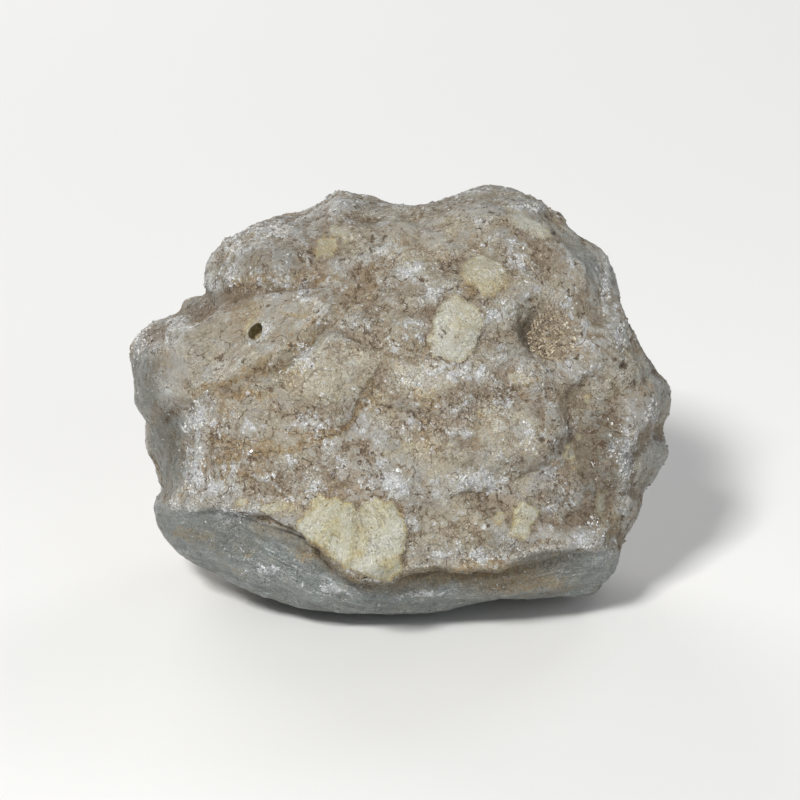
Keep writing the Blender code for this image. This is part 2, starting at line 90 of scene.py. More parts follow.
# The lower edge of the crust, above the grey band, from left to right, and how far the band is set back
CRUST_EDGE = [
    (-75, -27), (-67, -28.5), (-56.5, -31), (-41.5, -32), (-30, -35.5), (-23.5, -40), (-19.5, -44),
    (-11, -48.3), (-2.5, -49.3), (5, -47), (15.5, -47), (28, -45), (36.5, -43), (47, -41), (55, -42),
]
SET_BACK = [
    (-75, 0), (-50, 0.3), (-31, 2.6), (-20, 5.6), (-8, 5.6), (2, 4.6), (20, 4.2), (36, 3.6), (47, 2.2),
    (56, 0),
]
# The lie of the band's layers, smoothed from its edge
BAND_LIE = np.polyfit(*np.array(CRUST_EDGE).T, 4)
# How the forms' edges wander: (size, reach)
WANDER = [(17, 2.2), (7, 1.2)]
WANDER_SEED = Vector((11.3, 4.7, 8.1))
# Which way the edges wander, so that the stone is the same every time
WANDER_DRAW = 1795639816
noise.seed_set(WANDER_DRAW)

FIBROUS_SLAB = [
    (-50.5, 27), (-44, 29.5), (-27.5, 31), (-20, 31), (-18.5, 26.5), (-21.5, 22.5), (-28, 16),
    (-36.5, 10.5), (-44.5, 5), (-54, 1.5), (-58.5, 4.5), (-63, 13), (-58, 20.5),
]
# Slabs whose edges are crisp: (rise, outline)
CRISP_SLABS = [
    (1.1, [
        (-54, 31.5), (-53, 38), (-49, 42.5), (-41.5, 47.5), (-33, 49.5), (-27.5, 46), (-24, 39.5),
        (-22, 34), (-27.5, 32), (-38.5, 31), (-51, 29.5),
    ]),
    (1.4, FIBROUS_SLAB),
    (1, [
        (-27.5, 14), (-19, 19), (-10.5, 15.5), (-4, 12), (-9, 4), (-13, -5.5), (-21.5, -7), (-32, -3),
        (-36.5, 5),
    ]),
    (0.8, [
        (-3.5, 11), (5.5, 13), (12.5, 10.5), (19.5, 7), (20, 0), (15, -5), (8.5, -3.5), (0, -1.5),
        (-6.5, -0.5), (-7.5, 4),
    ]),
    (1.2, [
        (-14, 45), (-9.5, 49.5), (-2, 51.5), (4, 48), (3, 42.5), (-3.5, 39.5), (-10.5, 41),
    ]),
    (-1.1, [
        (45.5, 2), (47.5, -8.5), (41, -18), (27.5, -22.5), (17, -27), (21.5, -31), (33, -34), (45, -37),
        (53.5, -34), (60, -27.5), (59, -19.5), (61, -11), (65, -4), (66.5, 2), (62, 6), (56.5, 8),
        (49.5, 6),
    ]),
    (-1.4, [
        (73, 2.5), (68.5, -5.5), (64.5, -11), (63.5, -19.5), (61, -26.5), (67, -28), (72, -20), (78, -10),
        (78, 0),
    ]),
    (-1.4, [
        (41, 54), (46.5, 48.5), (52.5, 43), (56, 39), (57, 34), (58.5, 27), (54.5, 28.5), (51.5, 33),
        (47, 40.5), (42.5, 46.5), (38.5, 51),
    ]),
]
# Creases: (half width, depth, places along it)
CREASES = [
    (0.5, 0.35, [(-54, 28.5), (-44, 29.5), (-30.5, 31), (-19.5, 31.5)]),
    (0.6, 0.55, [(-17.5, 24), (-27.5, 15.5), (-36.5, 10), (-44.5, 4.5), (-56, 0.5)]),
    (0.4, 0.25, [(-15, -8.5), (-14, -6), (-11, -1.5), (-7.5, 5), (-3, 12), (8.5, 14)]),
    (0.8, 0.7, [(-61.5, -3), (-60.5, -8.5), (-60, -15), (-59.5, -22), (-60.5, -27.5)]),
    (0.6, 0.5, [(71, 7.5), (66, 4), (62, 0)]),
    (0.8, 0.7, [(76, -8), (69, -11), (65, -16)]),
    (0.5, 0.7, [(-11.6, -30.3), (-11, -34.5), (-12.1, -40), (-13.8, -44.7)]),
    (0.7, 0.4, [(-49, 33.5), (-38, 34.5), (-28, 34)]),
    (0.5, 0.3, [(-50, 31.5), (-38, 32.6), (-26, 32.6)]),
]
# Raised ribs: (half width, rise, places along it)
RIBS = [
    (1.3, 0.7, [(-56.5, -1.5), (-57.5, -8), (-56.2, -16), (-56.6, -24), (-53, -30)]),
    (1.5, 0.8, [(70, -1), (66, -6), (62.5, -11), (61, -17), (60.5, -24)]),
    (1, 0.5, [(-46.5, 42.5), (-46.2, 36), (-47, 31.5)]),
    (0.8, 0.5, [(44, 18), (50, 17), (58, 14.5)]),
    (0.8, 0.4, [(45, 21.5), (52, 21), (60, 19)]),
    (0.8, 0.4, [(43.5, 25), (49, 27), (56, 28)]),
    (0.9, 0.5, [(14, 10), (9.5, 7), (3, 12), (-4, 13.5)]),
    (1.1, 0.5, [(18, -24.5), (26, -22), (34, -19), (41, -13)]),
    (0.9, 0.4, [(-33, 6.5), (-26, 13), (-19, 18.5)]),
    (0.9, 0.4, [(41, 49), (47, 44), (51.5, 38.5), (54.5, 31), (57, 24)]),
]

# Chalky crusts: (rise, share of yellow, how fully it covers, outline)
CHALK_SHELL = [
    (-21.5, -25.9), (-24.3, -28.1), (-27, -32), (-29, -35.3), (-24.3, -39.2), (-18.8, -43.6), (-16, -45.8),
    (-12.7, -47.4), (-8.3, -48.8), (-3.9, -49.4), (-0.6, -48.8), (1.1, -46.9), (0.6, -44.1), (1.7, -40.8),
    (1.7, -37.5), (0.6, -32.5), (-1.7, -28.7), (-3.9, -27.6), (-6.6, -27.3), (-9.4, -28.1), (-11.6, -30.3),
    (-13.8, -28.7), (-16.5, -27), (-19.3, -27),
]
CHALK_PATCHES = [
    (0.5, 0.30, 1, CHALK_SHELL),
    (0.5, 0.12, 0.8, [
        (12.2, 28.4), (16.5, 28.6), (19, 26.4), (22.4, 25.2), (23.6, 20.4), (22.6, 17.6), (20.2, 12.4),
        (16.5, 10.4), (12.7, 11.6), (8.9, 12.4), (7, 16.2), (8.8, 19.3), (9, 22.6), (11.2, 24.8),
    ]),
    (0.35, 0.42, 0.68, [
        (18.9, 38.6), (22.6, 40.2), (26.9, 38.6), (29.7, 35.8), (29.7, 32), (27, 28.8), (23.7, 28.2),
        (21, 29.8), (18.3, 32), (16.1, 34.7),
    ]),
    (0.25, 0.14, 0.65, [
        (30.3, 51.8), (33.6, 52.4), (35.8, 50.2), (40.3, 47.4), (42.5, 45.2), (39.7, 44.1), (35.8, 45.2),
        (32.5, 48),
    ]),
    (0.3, 0.50, 0.5, [
        (29.8, 7.7), (33.1, 8.3), (36.9, 6.1), (35.3, 2.8), (31.4, 3.9),
    ]),
    (0.5, 0.35, 0.85, [
        (30.9, -30.3), (34.2, -27.6), (38.1, -30.3), (36.9, -33.1), (35.8, -35.3), (35.3, -38.6),
        (32.5, -38.1), (30.3, -36.9), (31.4, -33.1),
    ]),
    (0.4, 0.45, 0.7, [
        (24.8, -33.1), (27.6, -30.3), (29.2, -32), (28.1, -35.3),
    ]),
    (0.3, 0.48, 0.8, [
        (-24, 42.8), (-22.6, 45), (-20, 45.6), (-17, 44.4), (-17.6, 41.4), (-19.4, 39.4), (-22.4, 38.6),
        (-24, 40.6),
    ]),
    (0.2, 0.25, 0.6, [
        (-21, 46.8), (-18, 48.4), (-14.2, 47.4), (-12.8, 44.6), (-15, 43), (-17.4, 45.4),
    ]),
]
# Pale faces of the slabs, thinly crusted: (share of yellow, how fully it covers, outline)
PALE_SLABS = [
    (0.06, 0.44, [
        (-27.5, 14), (-19, 19), (-10.5, 15.5), (-4, 11), (-9, 4), (-14, -1.5), (-22.5, -2), (-31, 1),
        (-32, 8),
    ]),
    (0.16, 0.42, [
        (-1.5, 11), (5.5, 13), (12.5, 10.5), (16.5, 5), (14, 0), (6.5, -1.5), (-1.5, 1.5),
    ]),
    (0.34, 0.22, [
        (-48, 24), (-38, 27), (-24, 29), (-21.5, 25.5), (-28, 17), (-38, 10.5), (-50, 6), (-54, 10),
        (-53, 18),
    ]),
    (0.10, 0.32, [
        (-16, 29), (-8, 31), (-4.5, 27.5), (-9, 24), (-16, 25.5),
    ]),
    (0.20, 0.34, [
        (-4, -13), (8, -9.5), (18, -11.5), (17, -19.5), (6, -22), (-3, -19.5),
    ]),
    (0.10, 0.36, [
        (-2, 52), (14, 52), (16, 44), (11, 38), (2, 39), (-4, 44),
    ]),
    (0.15, 0.42, [
        (24, -1), (36, -3), (41, -10), (36, -17), (25, -16), (20, -8),
    ]),
    (0.12, 0.34, [
        (4, -30), (16, -28), (26, -32), (20, -38), (8, -42), (3, -38),
    ]),
]
# Small chalky chips: (across, up, half width, half height)
CHALK_CHIPS = [
    (47.1, -15.2, 1.8, 3.3), (55.1, -16.8, 0.8, 2.5), (55.4, -28.4, 1.4, 3.6), (52.4, 0, 1, 1.4),
    (50.2, -9.9, 0.9, 1.2), (14.6, -33, 1.6, 1.2), (-44, -28.4, 2.2, 1.2), (-34, -29.5, 4.5, 1.6),
]
# Yellow to orange stains: (across, up, half width, half height)
OCHRE_STAINS = [
    (-0.6, -33, 1.6, 4.6), (-9, -48.6, 6.5, 1), (-43.8, -29.4, 2.4, 1.4), (-37.2, -29, 1.4, 1.2),
    (-41.4, -42.5, 1.4, 0.8), (-54.5, -37.6, 3.4, 1), (19.6, 31, 2, 1.8), (14.3, 17.9, 2.2, 2.4),
    (-49.6, -12, 3.6, 1), (-47, -15.6, 1, 4), (-45, -16.4, 1, 2.6), (-53.8, -18.6, 0.8, 3),
    (-27.6, 24, 5, 0.7), (-31, 8, 9, 1.1), (-42, 1, 9, 1.3), (-20.7, 33, 5, 0.8), (20, -48, 20, 2.2),
    (34, -50.5, 13, 2.8), (24, -46, 12, 2), (-24.5, -41.5, 5, 2.4), (-60, -36.6, 3, 1.4),
    (-41, -11.5, 8, 0.8), (-25, -9, 9, 0.7), (58, -34, 3, 4), (42.7, -18, 2, 1.2), (-8.5, -28.2, 4.5, 1),
    (6, 1.5, 4, 2.2), (9, -2.5, 3, 1.6),
]
# The same along lines: (half width, places along it)
OCHRE_LINES = [
    (1, [(-57, 2), (-46, 5.6), (-37, 11.2), (-28.5, 17), (-20.5, 24)]),
    (1.1, [(-49, -11), (-43, -13.2), (-37, -14.6), (-30, -14.2), (-24, -11), (-17.5, -9)]),
    (0.7, [(-17.5, -9), (-13.5, -6), (-10.5, 0), (-7, 5.5)]),
    (0.9, [(-50, -16.5), (-47.6, -20), (-49, -24)]),
    (1.2, [(-46, 32.4), (-38, 33.4), (-28, 33.6)]),
]
# How much brown stain, partly painted shadow of the overhanging crust, lies under the crust's edge: (across,
# share)
UNDER_STAIN_AND_SHADOW = [
    (-75, 0), (-44, 0.1), (-30, 0.7), (-20, 1), (-8, 1), (4, 0.9), (30, 0.8), (46, 0.5), (56, 0),
]
# White sugary quartz: (across, up, half width, half height)
SUGAR_SPOTS = [
    (2.5, 36.4, 3.9, 2.2), (8.8, 30.3, 1.9, 2.5), (14.3, 7.7, 6.6, 3), (25.4, 23.2, 3.3, 1.9),
    (33.1, 36.9, 3.3, 2.5), (-45.2, 42.7, 2.5, 2.8), (-36, 46.6, 6.6, 1.8), (-40, 35.4, 2.6, 0.8),
    (-26, 29.8, 4.5, 2.6), (-26.7, 13, 2.5, 3), (-57.1, -5, 2.2, 3.9), (-56.5, -20.4, 3.3, 7.2),
    (-23.4, -24, 2.8, 4.1), (-16.5, -18.8, 2.8, 2.5), (-3.3, -23.4, 6.6, 4.4), (-46.9, -30.9, 5.5, 1.4),
    (-30.3, -27.8, 2.2, 1.1), (22.6, -42.7, 3.9, 2.2), (11.9, -42.5, 2.5, 1.4), (22.1, -22.3, 9.4, 3),
    (35.8, -9.4, 3.9, 3.3), (62.6, -15.4, 2.5, 8.3), (69.5, -2.8, 1.4, 3), (53.5, -34.2, 2.2, 1.7),
    (-71.7, 15.2, 2.2, 3.9), (21, 8, 3, 2.2), (-46.5, 36, 0.8, 5), (10.5, 13.5, 2, 1.6),
    (-10, -45, 3, 1.6), (36, 53, 8, 1), (56.5, 30, 1.2, 7), (61, 17, 1.4, 4), (-51, -24.5, 5, 2.2),
    (-16, -52, 6, 1.4), (6, -53.5, 7, 1.2), (-36, -47, 5, 1.2), (-47, -33.4, 3, 1.2), (50, -38, 3.4, 3),
]
# Brown dusty places: (across, up, half width, half height)
DUST_PLACES = [
    (-11, 31, 7.5, 7.5), (-38.1, 30.5, 12.7, 1), (-56.5, 25.4, 3.9, 3.9), (-2.2, -0.6, 4.4, 3.3),
    (40.3, 20.4, 9.4, 9.4), (-17.9, -8.3, 6.6, 3.9), (-43.6, -14.3, 6.6, 4.4), (55.1, -16.5, 9, 14),
    (20.7, -35, 11.6, 6), (14.3, -12.7, 8, 4), (14.5, 52, 3, 3), (32, 44.7, 3.3, 3),
    (-27.6, -3.4, 14, 2.6), (8.3, 18.5, 2.9, 8.3), (44.1, 0, 7.3, 6.2), (-34.4, 6.2, 14, 1.6),
    (52.4, -30.1, 6.2, 8), (-5.5, 16.5, 5.5, 5.5), (27.6, 1, 4, 5), (16, 36, 2, 5), (-40, -19, 9, 3),
    (-14, -12, 8, 2),
]
# Clear grey quartz: (across, up, half width, half height)
GLASS_PLACES = [
    (23.2, 52.1, 5.5, 1.7), (19.6, 44.9, 2.2, 1.7), (2.5, -18.5, 6.1, 4.1), (51.6, -4.1, 1.7, 3.9),
    (38.3, -25.1, 2.8, 3.3), (30.1, -25.9, 2.8, 2.8), (-16.5, 37.5, 3.3, 2.5), (-1.4, 25.4, 1.7, 2.5),
    (67.6, 0, 5, 8.4), (70.3, -13.8, 3.3, 7.7), (-27.6, -33.1, 6.1, 1.6), (-68.9, -12.3, 5.6, 12.5),
    (34.5, 51, 3.9, 2.2), (44.1, 46.3, 3.3, 2.2), (53.1, 35.8, 2.8, 6.6), (-55, -14, 1.6, 1.8),
    (42, 40, 4, 2.4), (-33, 0.5, 4, 3), (31, 30, 2, 2), (6.5, 46.5, 6, 4), (-38, 41, 5, 3),
    (-33, 37.4, 4, 1.8), (-62, 8, 3.4, 4.6), (-30, 19.5, 3, 2),
]
# Where the stone is darker: in part its own darker tone, in part painted shade under the crust's edge, in the
# pocket's walls and on the flanks that face away from the light:
# (across, up, half width, half height, how dark)
DARK_TONE_AND_SHADE_PLACES = [
    (55, -17, 8, 16, 1.6), (52, -31, 7, 6, 1.2), (19.3, -50, 24, 3.4, 0.5), (-65.5, -12, 6.5, 12, 2.2),
    (-70.5, 6, 5.5, 13, 1.5), (35.6, 18.8, 3.6, 5.6, 2.3), (40, 20, 7.5, 8, 0.5), (-56.5, 25.4, 4, 3.4, 1),
    (72.5, 4, 5, 9, 0.4), (71, -15, 4.5, 8, 0.5), (-68, -34, 7, 6, 1.4), (-50, -37, 16, 6, 1.5),
    (-20.5, -45.8, 5, 2, 1.7), (-27.5, -40.5, 4, 1.6, 1.2), (-14, -4, 5, 2.4, 0.4),
    (11, -35, 9, 6.5, 0.35), (-36, 40, 11, 7, 0.9), (-38, 17, 17, 10, 0.5), (23, 15, 4, 9, 0.3),
    (-25, -44, 7, 2.6, 0.4), (28.5, 14.5, 4, 5, 0.8), (45.5, -27, 6, 4, 0.8), (51, -1.5, 4, 4, 0.8),
    (25.5, -39.5, 7, 3, 0.7), (58, 33, 3.5, 8, 0.5), (-7.5, -48.4, 6, 1.6, 0.9), (60, 18, 3, 6, 0.4),
    (-11, -29.2, 1.6, 1.4, 0.7),
]
# Smooth grey faces of bare quartz, like the band: (how grey, outline)
GREY_FACES = [
    (0.52, [
        (-58.5, -3), (-59, -11), (-58.8, -19.5), (-60.5, -26.5), (-72, -28.5), (-78, -19.5), (-78, -8.5),
        (-68, -5),
    ]),
    (0.46, [
        (-70, 14), (-66, 8), (-63, -2), (-78, -6), (-80, 10),
    ]),
    (0.44, [
        (65.5, 8), (68.5, 4), (71, -6), (80, -6), (80, 10), (70, 12),
    ]),
    (0.44, [
        (70, -9), (66.5, -17), (65, -25), (72, -28), (82, -12),
    ]),
    (0.52, [
        (46, 48), (52, 42.5), (56.5, 35), (53, 32), (48, 39), (42, 45),
    ]),
]
# Fine dark cracks: (how marked, half width, places along it)
CRACKS = [
    (0.9, 0.30, [(-5.5, -2), (0, -3), (3, -3.6), (7, -5), (11, -7.5)]),
    (1, 0.28, [(8.6, 18), (10.8, 20.2), (12.2, 19.2), (11, 17.4)]),
    (1, 0.34, [(9, 14.6), (10.2, 13), (11.8, 11.6)]),
    (0.8, 0.24, [(7.4, 22.6), (9.4, 25), (10.8, 27.4), (13.4, 28.8)]),
    (0.5, 0.20, [(17, 27.6), (20.8, 24), (21.8, 19.6), (20.6, 15.4)]),
    (0.6, 0.18, [(14, 24.6), (13.4, 20.4), (15.4, 17)]),
    (1, 0.26, [(35.4, 21), (36.6, 18), (37.8, 15.5), (40, 13)]),
    (0.6, 0.24, [(42, 24), (46, 23.2), (52, 22), (57, 20.5)]),
    (0.5, 0.22, [(44, 29), (47, 33), (51, 36)]),
    (0.5, 0.22, [(46, 18), (54, 17.6), (60, 16)]),
    (0.8, 0.24, [(26.5, -26.2), (28.4, -29), (27.2, -31.4)]),
    (0.6, 0.22, [(-13.5, -5.5), (-10.5, 0), (-7, 5.5), (-3, 11.5), (4, 13.6), (9, 15)]),
    (0.6, 0.20, [(15, 37.5), (17, 33), (18.5, 28.8)]),
    (0.6, 0.22, [(28, 48.5), (29.5, 50.5), (30, 53)]),
    (0.9, 0.24, [(-48, -11.5), (-43, -13.2), (-37, -14.6), (-30, -14.2), (-24, -11), (-17.5, -9)]),
    (0.8, 0.22, [(-17.5, -9), (-14, -6.5), (-11.8, -2), (-9.6, 1.5)]),
    (0.8, 0.22, [(-56.5, 1), (-46, 5), (-37.5, 10.6), (-29, 16.2), (-21, 23)]),
    (0.5, 0.20, [(-52, 5.2), (-43, 9), (-34, 14.8), (-26, 20.4)]),
    (0.6, 0.20, [(-55, 28.6), (-44, 29.8), (-31, 31.2), (-20, 32)]),
    (0.7, 0.24, [(-64.5, -3.6), (-61, -4.2), (-58.6, -1.6), (-57.6, 0.2)]),
    (0.6, 0.36, [(-12.3, -29), (-11.2, -34.5), (-12.1, -40), (-13.8, -44.7)]),
    (0.5, 0.22, [(14, -12), (20, -14.5), (28, -14)]),
]
# Small open pits: (across, up, radius, depth)
SMALL_PITS = [
    (61.8, 9.4, 1.2, 1.6), (59.3, 11, 0.7, 0.9), (57.1, 11, 0.5, 0.6), (-6.1, 29, 0.6, 0.7),
    (-16.3, 26.7, 0.5, 0.6), (-64.2, -5.8, 1, 1), (39.1, -11, 1.1, 0.9), (20.4, 29.2, 0.45, 0.8),
    (36, 27.5, 0.7, 0.6), (42.5, 46, 0.7, 0.5), (44, 15, 0.6, 0.6),
]

# The open pit on the left, whose mouth lies PIT_OUT out from the face plane
PIT_PLACE = (-39.6, 18.9)
PIT_LENGTH = 5
PIT_WIDTH = 3.4
PIT_DEPTH = 5.2
PIT_TURN = 62
PIT_OUT = 40

# Where the fibres of the slab on the left run together, and those of the plates round the sandy pocket
SLAB_FOCUS = (-15.2, 31.7)
SLAB_FAN_RADIUS = 30
POCKET_FOCUS = (37.6, 18.4)
POCKET_FAN_RADIUS = 13
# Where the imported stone's hollows are evened out, to be worked finely: (place, radius, rounds)
EASED_PLACES = [(PIT_PLACE, 5.6, PIT_ROUNDS), ((38.1, 19.4), 9.5, POCKET_ROUNDS)]
SHELL_FOCUS = (-12.5, -20)
SHELL_FAN_RADIUS = 16
BUNDLE_SIZE = 13
# Where the sand lies in the pocket: (across, up, half width, half height)
SAND_PLACE = (42.0, 17.4, 6.0, 6.5)
# The chance of sand elsewhere, so that there are always places enough to choose from
LEAST_CHANCE = 1e-12
# The loose grains: (how many, least size, largest size, flatness, tilt, how far sunk)
GRAIN_KINDS = {
    "rind_grains": (4200, 0.6, 1.5, 0.4, 0.4, 0.70),
    "bright_crystals": (1500, 0.35, 0.95, 0.7, 0.6, 0.68),
    "pocket_sand": (300, 0.35, 0.85, 0.8, 1.0, 0.46),
}


def smooth_step(low, high, value):
    share = unit((value - low) / (high - low))
    return share * share * (3.0 - 2.0 * share)


def unit(value):
    return np.clip(value, 0.0, 1.0)


def bell(away, half_width):
    """1 where away is nothing, falling away to either side."""
    return np.exp(-((away / half_width) ** 2))


def on_face(points):
    """Points in metres, as (across, up, out) from the middle of the face."""
    return (points / MM - FACE_MIDDLE) @ FACE_AXES.T


def from_face(places):
    return (places @ FACE_AXES + FACE_MIDDLE) * MM


def as_seen(places):
    spread = VIEW_DISTANCE / (VIEW_DISTANCE - places[:, 2:])
    return places * np.hstack((spread, spread, np.ones_like(spread)))


def clouds(places, size, seed, octaves=1):
    """Soft noise from about -1 to 1, its blobs about as wide as size."""
    shift = Vector((seed * 3.7, seed * 1.3, seed * 2.1))
    spots = [Vector(place) / size + shift for place in places]
    if octaves == 1:
        return np.array([noise.noise(spot) for spot in spots])
    return np.array([noise.fractal(spot, 0.8, 2.0, octaves) for spot in spots])


def wandered(places):
    shifted = places.copy()
    for size, reach in WANDER:
        spots = [Vector(place) / size + WANDER_SEED for place in places]
        shifted += reach * np.array([noise.noise_vector(spot) for spot in spots])
    return shifted


def shifts(places, reach, size, seed, octaves=1):
    """A soft shift of up to about reach for each place, every way."""
    return reach * np.column_stack([clouds(places, size, seed + axis, octaves) for axis in range(3)])


def nudged_places(places, seen):
    """The places as seen, shifted a little so that the crusts' edges are ragged."""
    return seen + shifts(places, 0.9, 2.4, 1.0) + shifts(places, 1.1, 6.0, 4.0)


def away_from(places, spot):
    """Each place's distance from the spot, as it is seen."""
    return np.hypot(places[:, 0] - spot[0], places[:, 1] - spot[1])


def in_ellipse(places, across, up, half_width, half_height):
    """0 at the ellipse's middle and 1 on its edge."""
    return np.hypot((places[:, 0] - across) / half_width, (places[:, 1] - up) / half_height)


def near_front_of(places, fade=FRONT_FADE):
    """1 on the side that faces the viewer and 0 on the far side."""
    return smooth_step(*fade, places[:, 2])


def from_line(places, line):
    """Each place's distance from the line."""
    nearest = np.full(len(places), np.inf)
    for start, end in zip(line, line[1:]):
        run = np.subtract(end, start)
        offset = places[:, :2] - start
        share = unit(offset @ run / (run @ run))
        gap = offset - share[:, None] * run
        nearest = np.minimum(nearest, np.hypot(gap[:, 0], gap[:, 1]))
    return nearest


def depth_inside(places, outline):
    """How far within the outline each place lies, negative outside it."""
    within = np.zeros(len(places), bool)
    x, y = places[:, 0], places[:, 1]
    for (x1, y1), (x2, y2) in zip(outline, outline[1:] + outline[:1]):
        if y1 == y2:
            continue
        crosses = (y1 > y) != (y2 > y)
        within ^= crosses & (x < (x2 - x1) * (y - y1) / (y2 - y1) + x1)
    edge = from_line(places, outline + outline[:1])
    return np.where(within, edge, -edge)


def in_spots(places, spots):
    """1 at the middle of a spot, a half on its edge and 0 at twice its size."""
    share = np.zeros(len(places))
    for spot in spots:
        share = np.maximum(share, 1.0 - 0.5 * in_ellipse(places, *spot))
    return share


def flat_faces(places, size, slant, seed):
    """Grains with flat faces, each leaning its own way."""
    rise = np.empty(len(places))
    shift = Vector((seed, 2.0 * seed, 3.0 * seed))
    for index, place in enumerate(places):
        spot = Vector(place) / size + shift
        distances, centres = noise.voronoi(spot)
        lean = 2.0 * noise.cell_vector(centres[0] * 7.0) - Vector((1.0, 1.0, 1.0))
        to_edge = min((distances[1] - distances[0]) / 0.16, 1.0)
        rise[index] = slant * size * (spot - centres[0]).dot(lean) * to_edge
    return rise


def mesh_points(mesh):
    points = np.empty(len(mesh.vertices) * 3, np.float32)
    mesh.vertices.foreach_get("co", points)
    return points.reshape(-1, 3).astype(float)


def mesh_normals(mesh):
    mesh.update()
    normals = np.empty(len(mesh.vertices) * 3, np.float32)
    mesh.vertices.foreach_get("normal", normals)
    return normals.reshape(-1, 3).astype(float)


def set_points(mesh, points):
    mesh.vertices.foreach_set("co", points.astype(np.float32).ravel())
    mesh.update()


def mesh_edges(mesh):
    ends = np.empty(len(mesh.edges) * 2, np.int32)
    mesh.edges.foreach_get("vertices", ends)
    return ends.reshape(-1, 2)


def evened(values, ends, rounds, share=0.5):
    """Each vertex's values, drawn towards the mean of its neighbours."""
    count = len(values)
    flat = values.ndim == 1
    columns = values[:, None].copy() if flat else values.copy()
    links = np.bincount(ends.ravel(), minlength=count)[:, None]
    for _ in range(rounds):
        total = np.empty_like(columns)
        for axis in range(columns.shape[1]):
            column = columns[:, axis]
            total[:, axis] = np.bincount(ends[:, 0], column[ends[:, 1]], count)
            total[:, axis] += np.bincount(ends[:, 1], column[ends[:, 0]], count)
        columns += share * (total / links - columns)
    return columns[:, 0] if flat else columns


def pick_none():
    bpy.ops.object.select_all(action="DESELECT")


def pick(piece):
    pick_none()
    piece.select_set(True)
    bpy.context.view_layer.objects.active = piece


def finish_modifier(piece, modifier):
    pick(piece)
    bpy.ops.object.modifier_apply(modifier=modifier.name)


# The stone

def blank_stone():
    """A cube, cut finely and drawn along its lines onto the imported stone."""
    pick_none()
    bpy.ops.mesh.primitive_cube_add(size=2.0)
    stone = bpy.context.object
    stone.name = "rough_stone"
    stone.data.name = "rough_stone"
    cuts = stone.modifiers.new("cuts", "SUBSURF")
    cuts.subdivision_type = "SIMPLE"
    cuts.levels = CUT_LEVELS
    cuts.render_levels = CUT_LEVELS
    finish_modifier(stone, cuts)
    ways = np.tan(mesh_points(stone.data) * math.pi / 4.0)
    ways /= np.linalg.norm(ways, axis=1)[:, None]
    middle = Vector(from_face(np.array([[0.0, 0.0, LINES_MEET]]))[0])
    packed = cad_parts["geode"]
    points = np.empty_like(ways)
    for index, way in enumerate(ways):
        way = Vector(way)
        hit, place, _, _ = packed.ray_cast(middle + way * LINE_LENGTH * MM, -way)
        points[index] = place if hit else middle
    ends = mesh_edges(stone.data)
    seen = as_seen(on_face(points))
    for place, reach, rounds in EASED_PLACES:
        eased = (away_from(seen, place) < reach) & (seen[:, 2] > 0.0)
        for _ in range(rounds):
            points[eased] = evened(points, ends, 1, 1.0)[eased]
    points = evened(points, ends, FACET_ROUNDS)
    set_points(stone.data, points)
    return stone


def below_crust(seen):
    """How far each place lies under the crust's lower edge."""
    return np.interp(seen[:, 0], *np.array(CRUST_EDGE).T) - seen[:, 1]


def ridge_along(places, half_width, line):
    """1 on the line, falling away to either side of it."""
    return bell(from_line(places, line), half_width)


def crisp_forms(seen, near_front):
    """What sharpens the ledge, slabs and creases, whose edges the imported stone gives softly."""
    back = np.interp(seen[:, 0], *np.array(SET_BACK).T)
    below = below_crust(seen)
    rise = back * 0.8 * (smooth_step(-2.4, 3.6, below) - smooth_step(-0.1, 0.9, below))
    for height, outline in CRISP_SLABS:
        inward = depth_inside(seen, outline)
        rise += 0.4 * height * (smooth_step(-0.6, 0.6, inward) - smooth_step(-2.6, 2.6, inward))
    come_and_go = 0.6 + 0.9 * clouds(seen, 5.0, 71.0, 2)
    for half_width, depth, line in CREASES:
        rise -= depth * come_and_go * ridge_along(seen, half_width, line)
    for half_width, height, line in RIBS:
        rise += height * come_and_go * ridge_along(seen, half_width, line)
    return rise * near_front


def bundles(places):
    """Bundles of fibres grown together, each lying its own way."""
    shift = Vector((31.0, 17.0, 5.0))
    lie = np.empty((len(places), 3))
    for index, place in enumerate(wandered(places)):
        spot = Vector(place)
        spot.z *= 0.7
        centre = noise.voronoi(spot / BUNDLE_SIZE + shift)[1][0]
        way = noise.cell_vector(centre * 7.0) - Vector((0.5, 0.5, 0.5))
        turn = math.atan2(way.y, way.x)
        ahead = Vector((math.cos(turn), math.sin(turn), way.z))
        aside = Vector((-math.sin(turn), math.cos(turn), 0.0))
        lie[index] = (spot.dot(aside), spot.dot(ahead), 0.25 + 0.45 * noise.cell(centre * 5.0))
    return lie.T


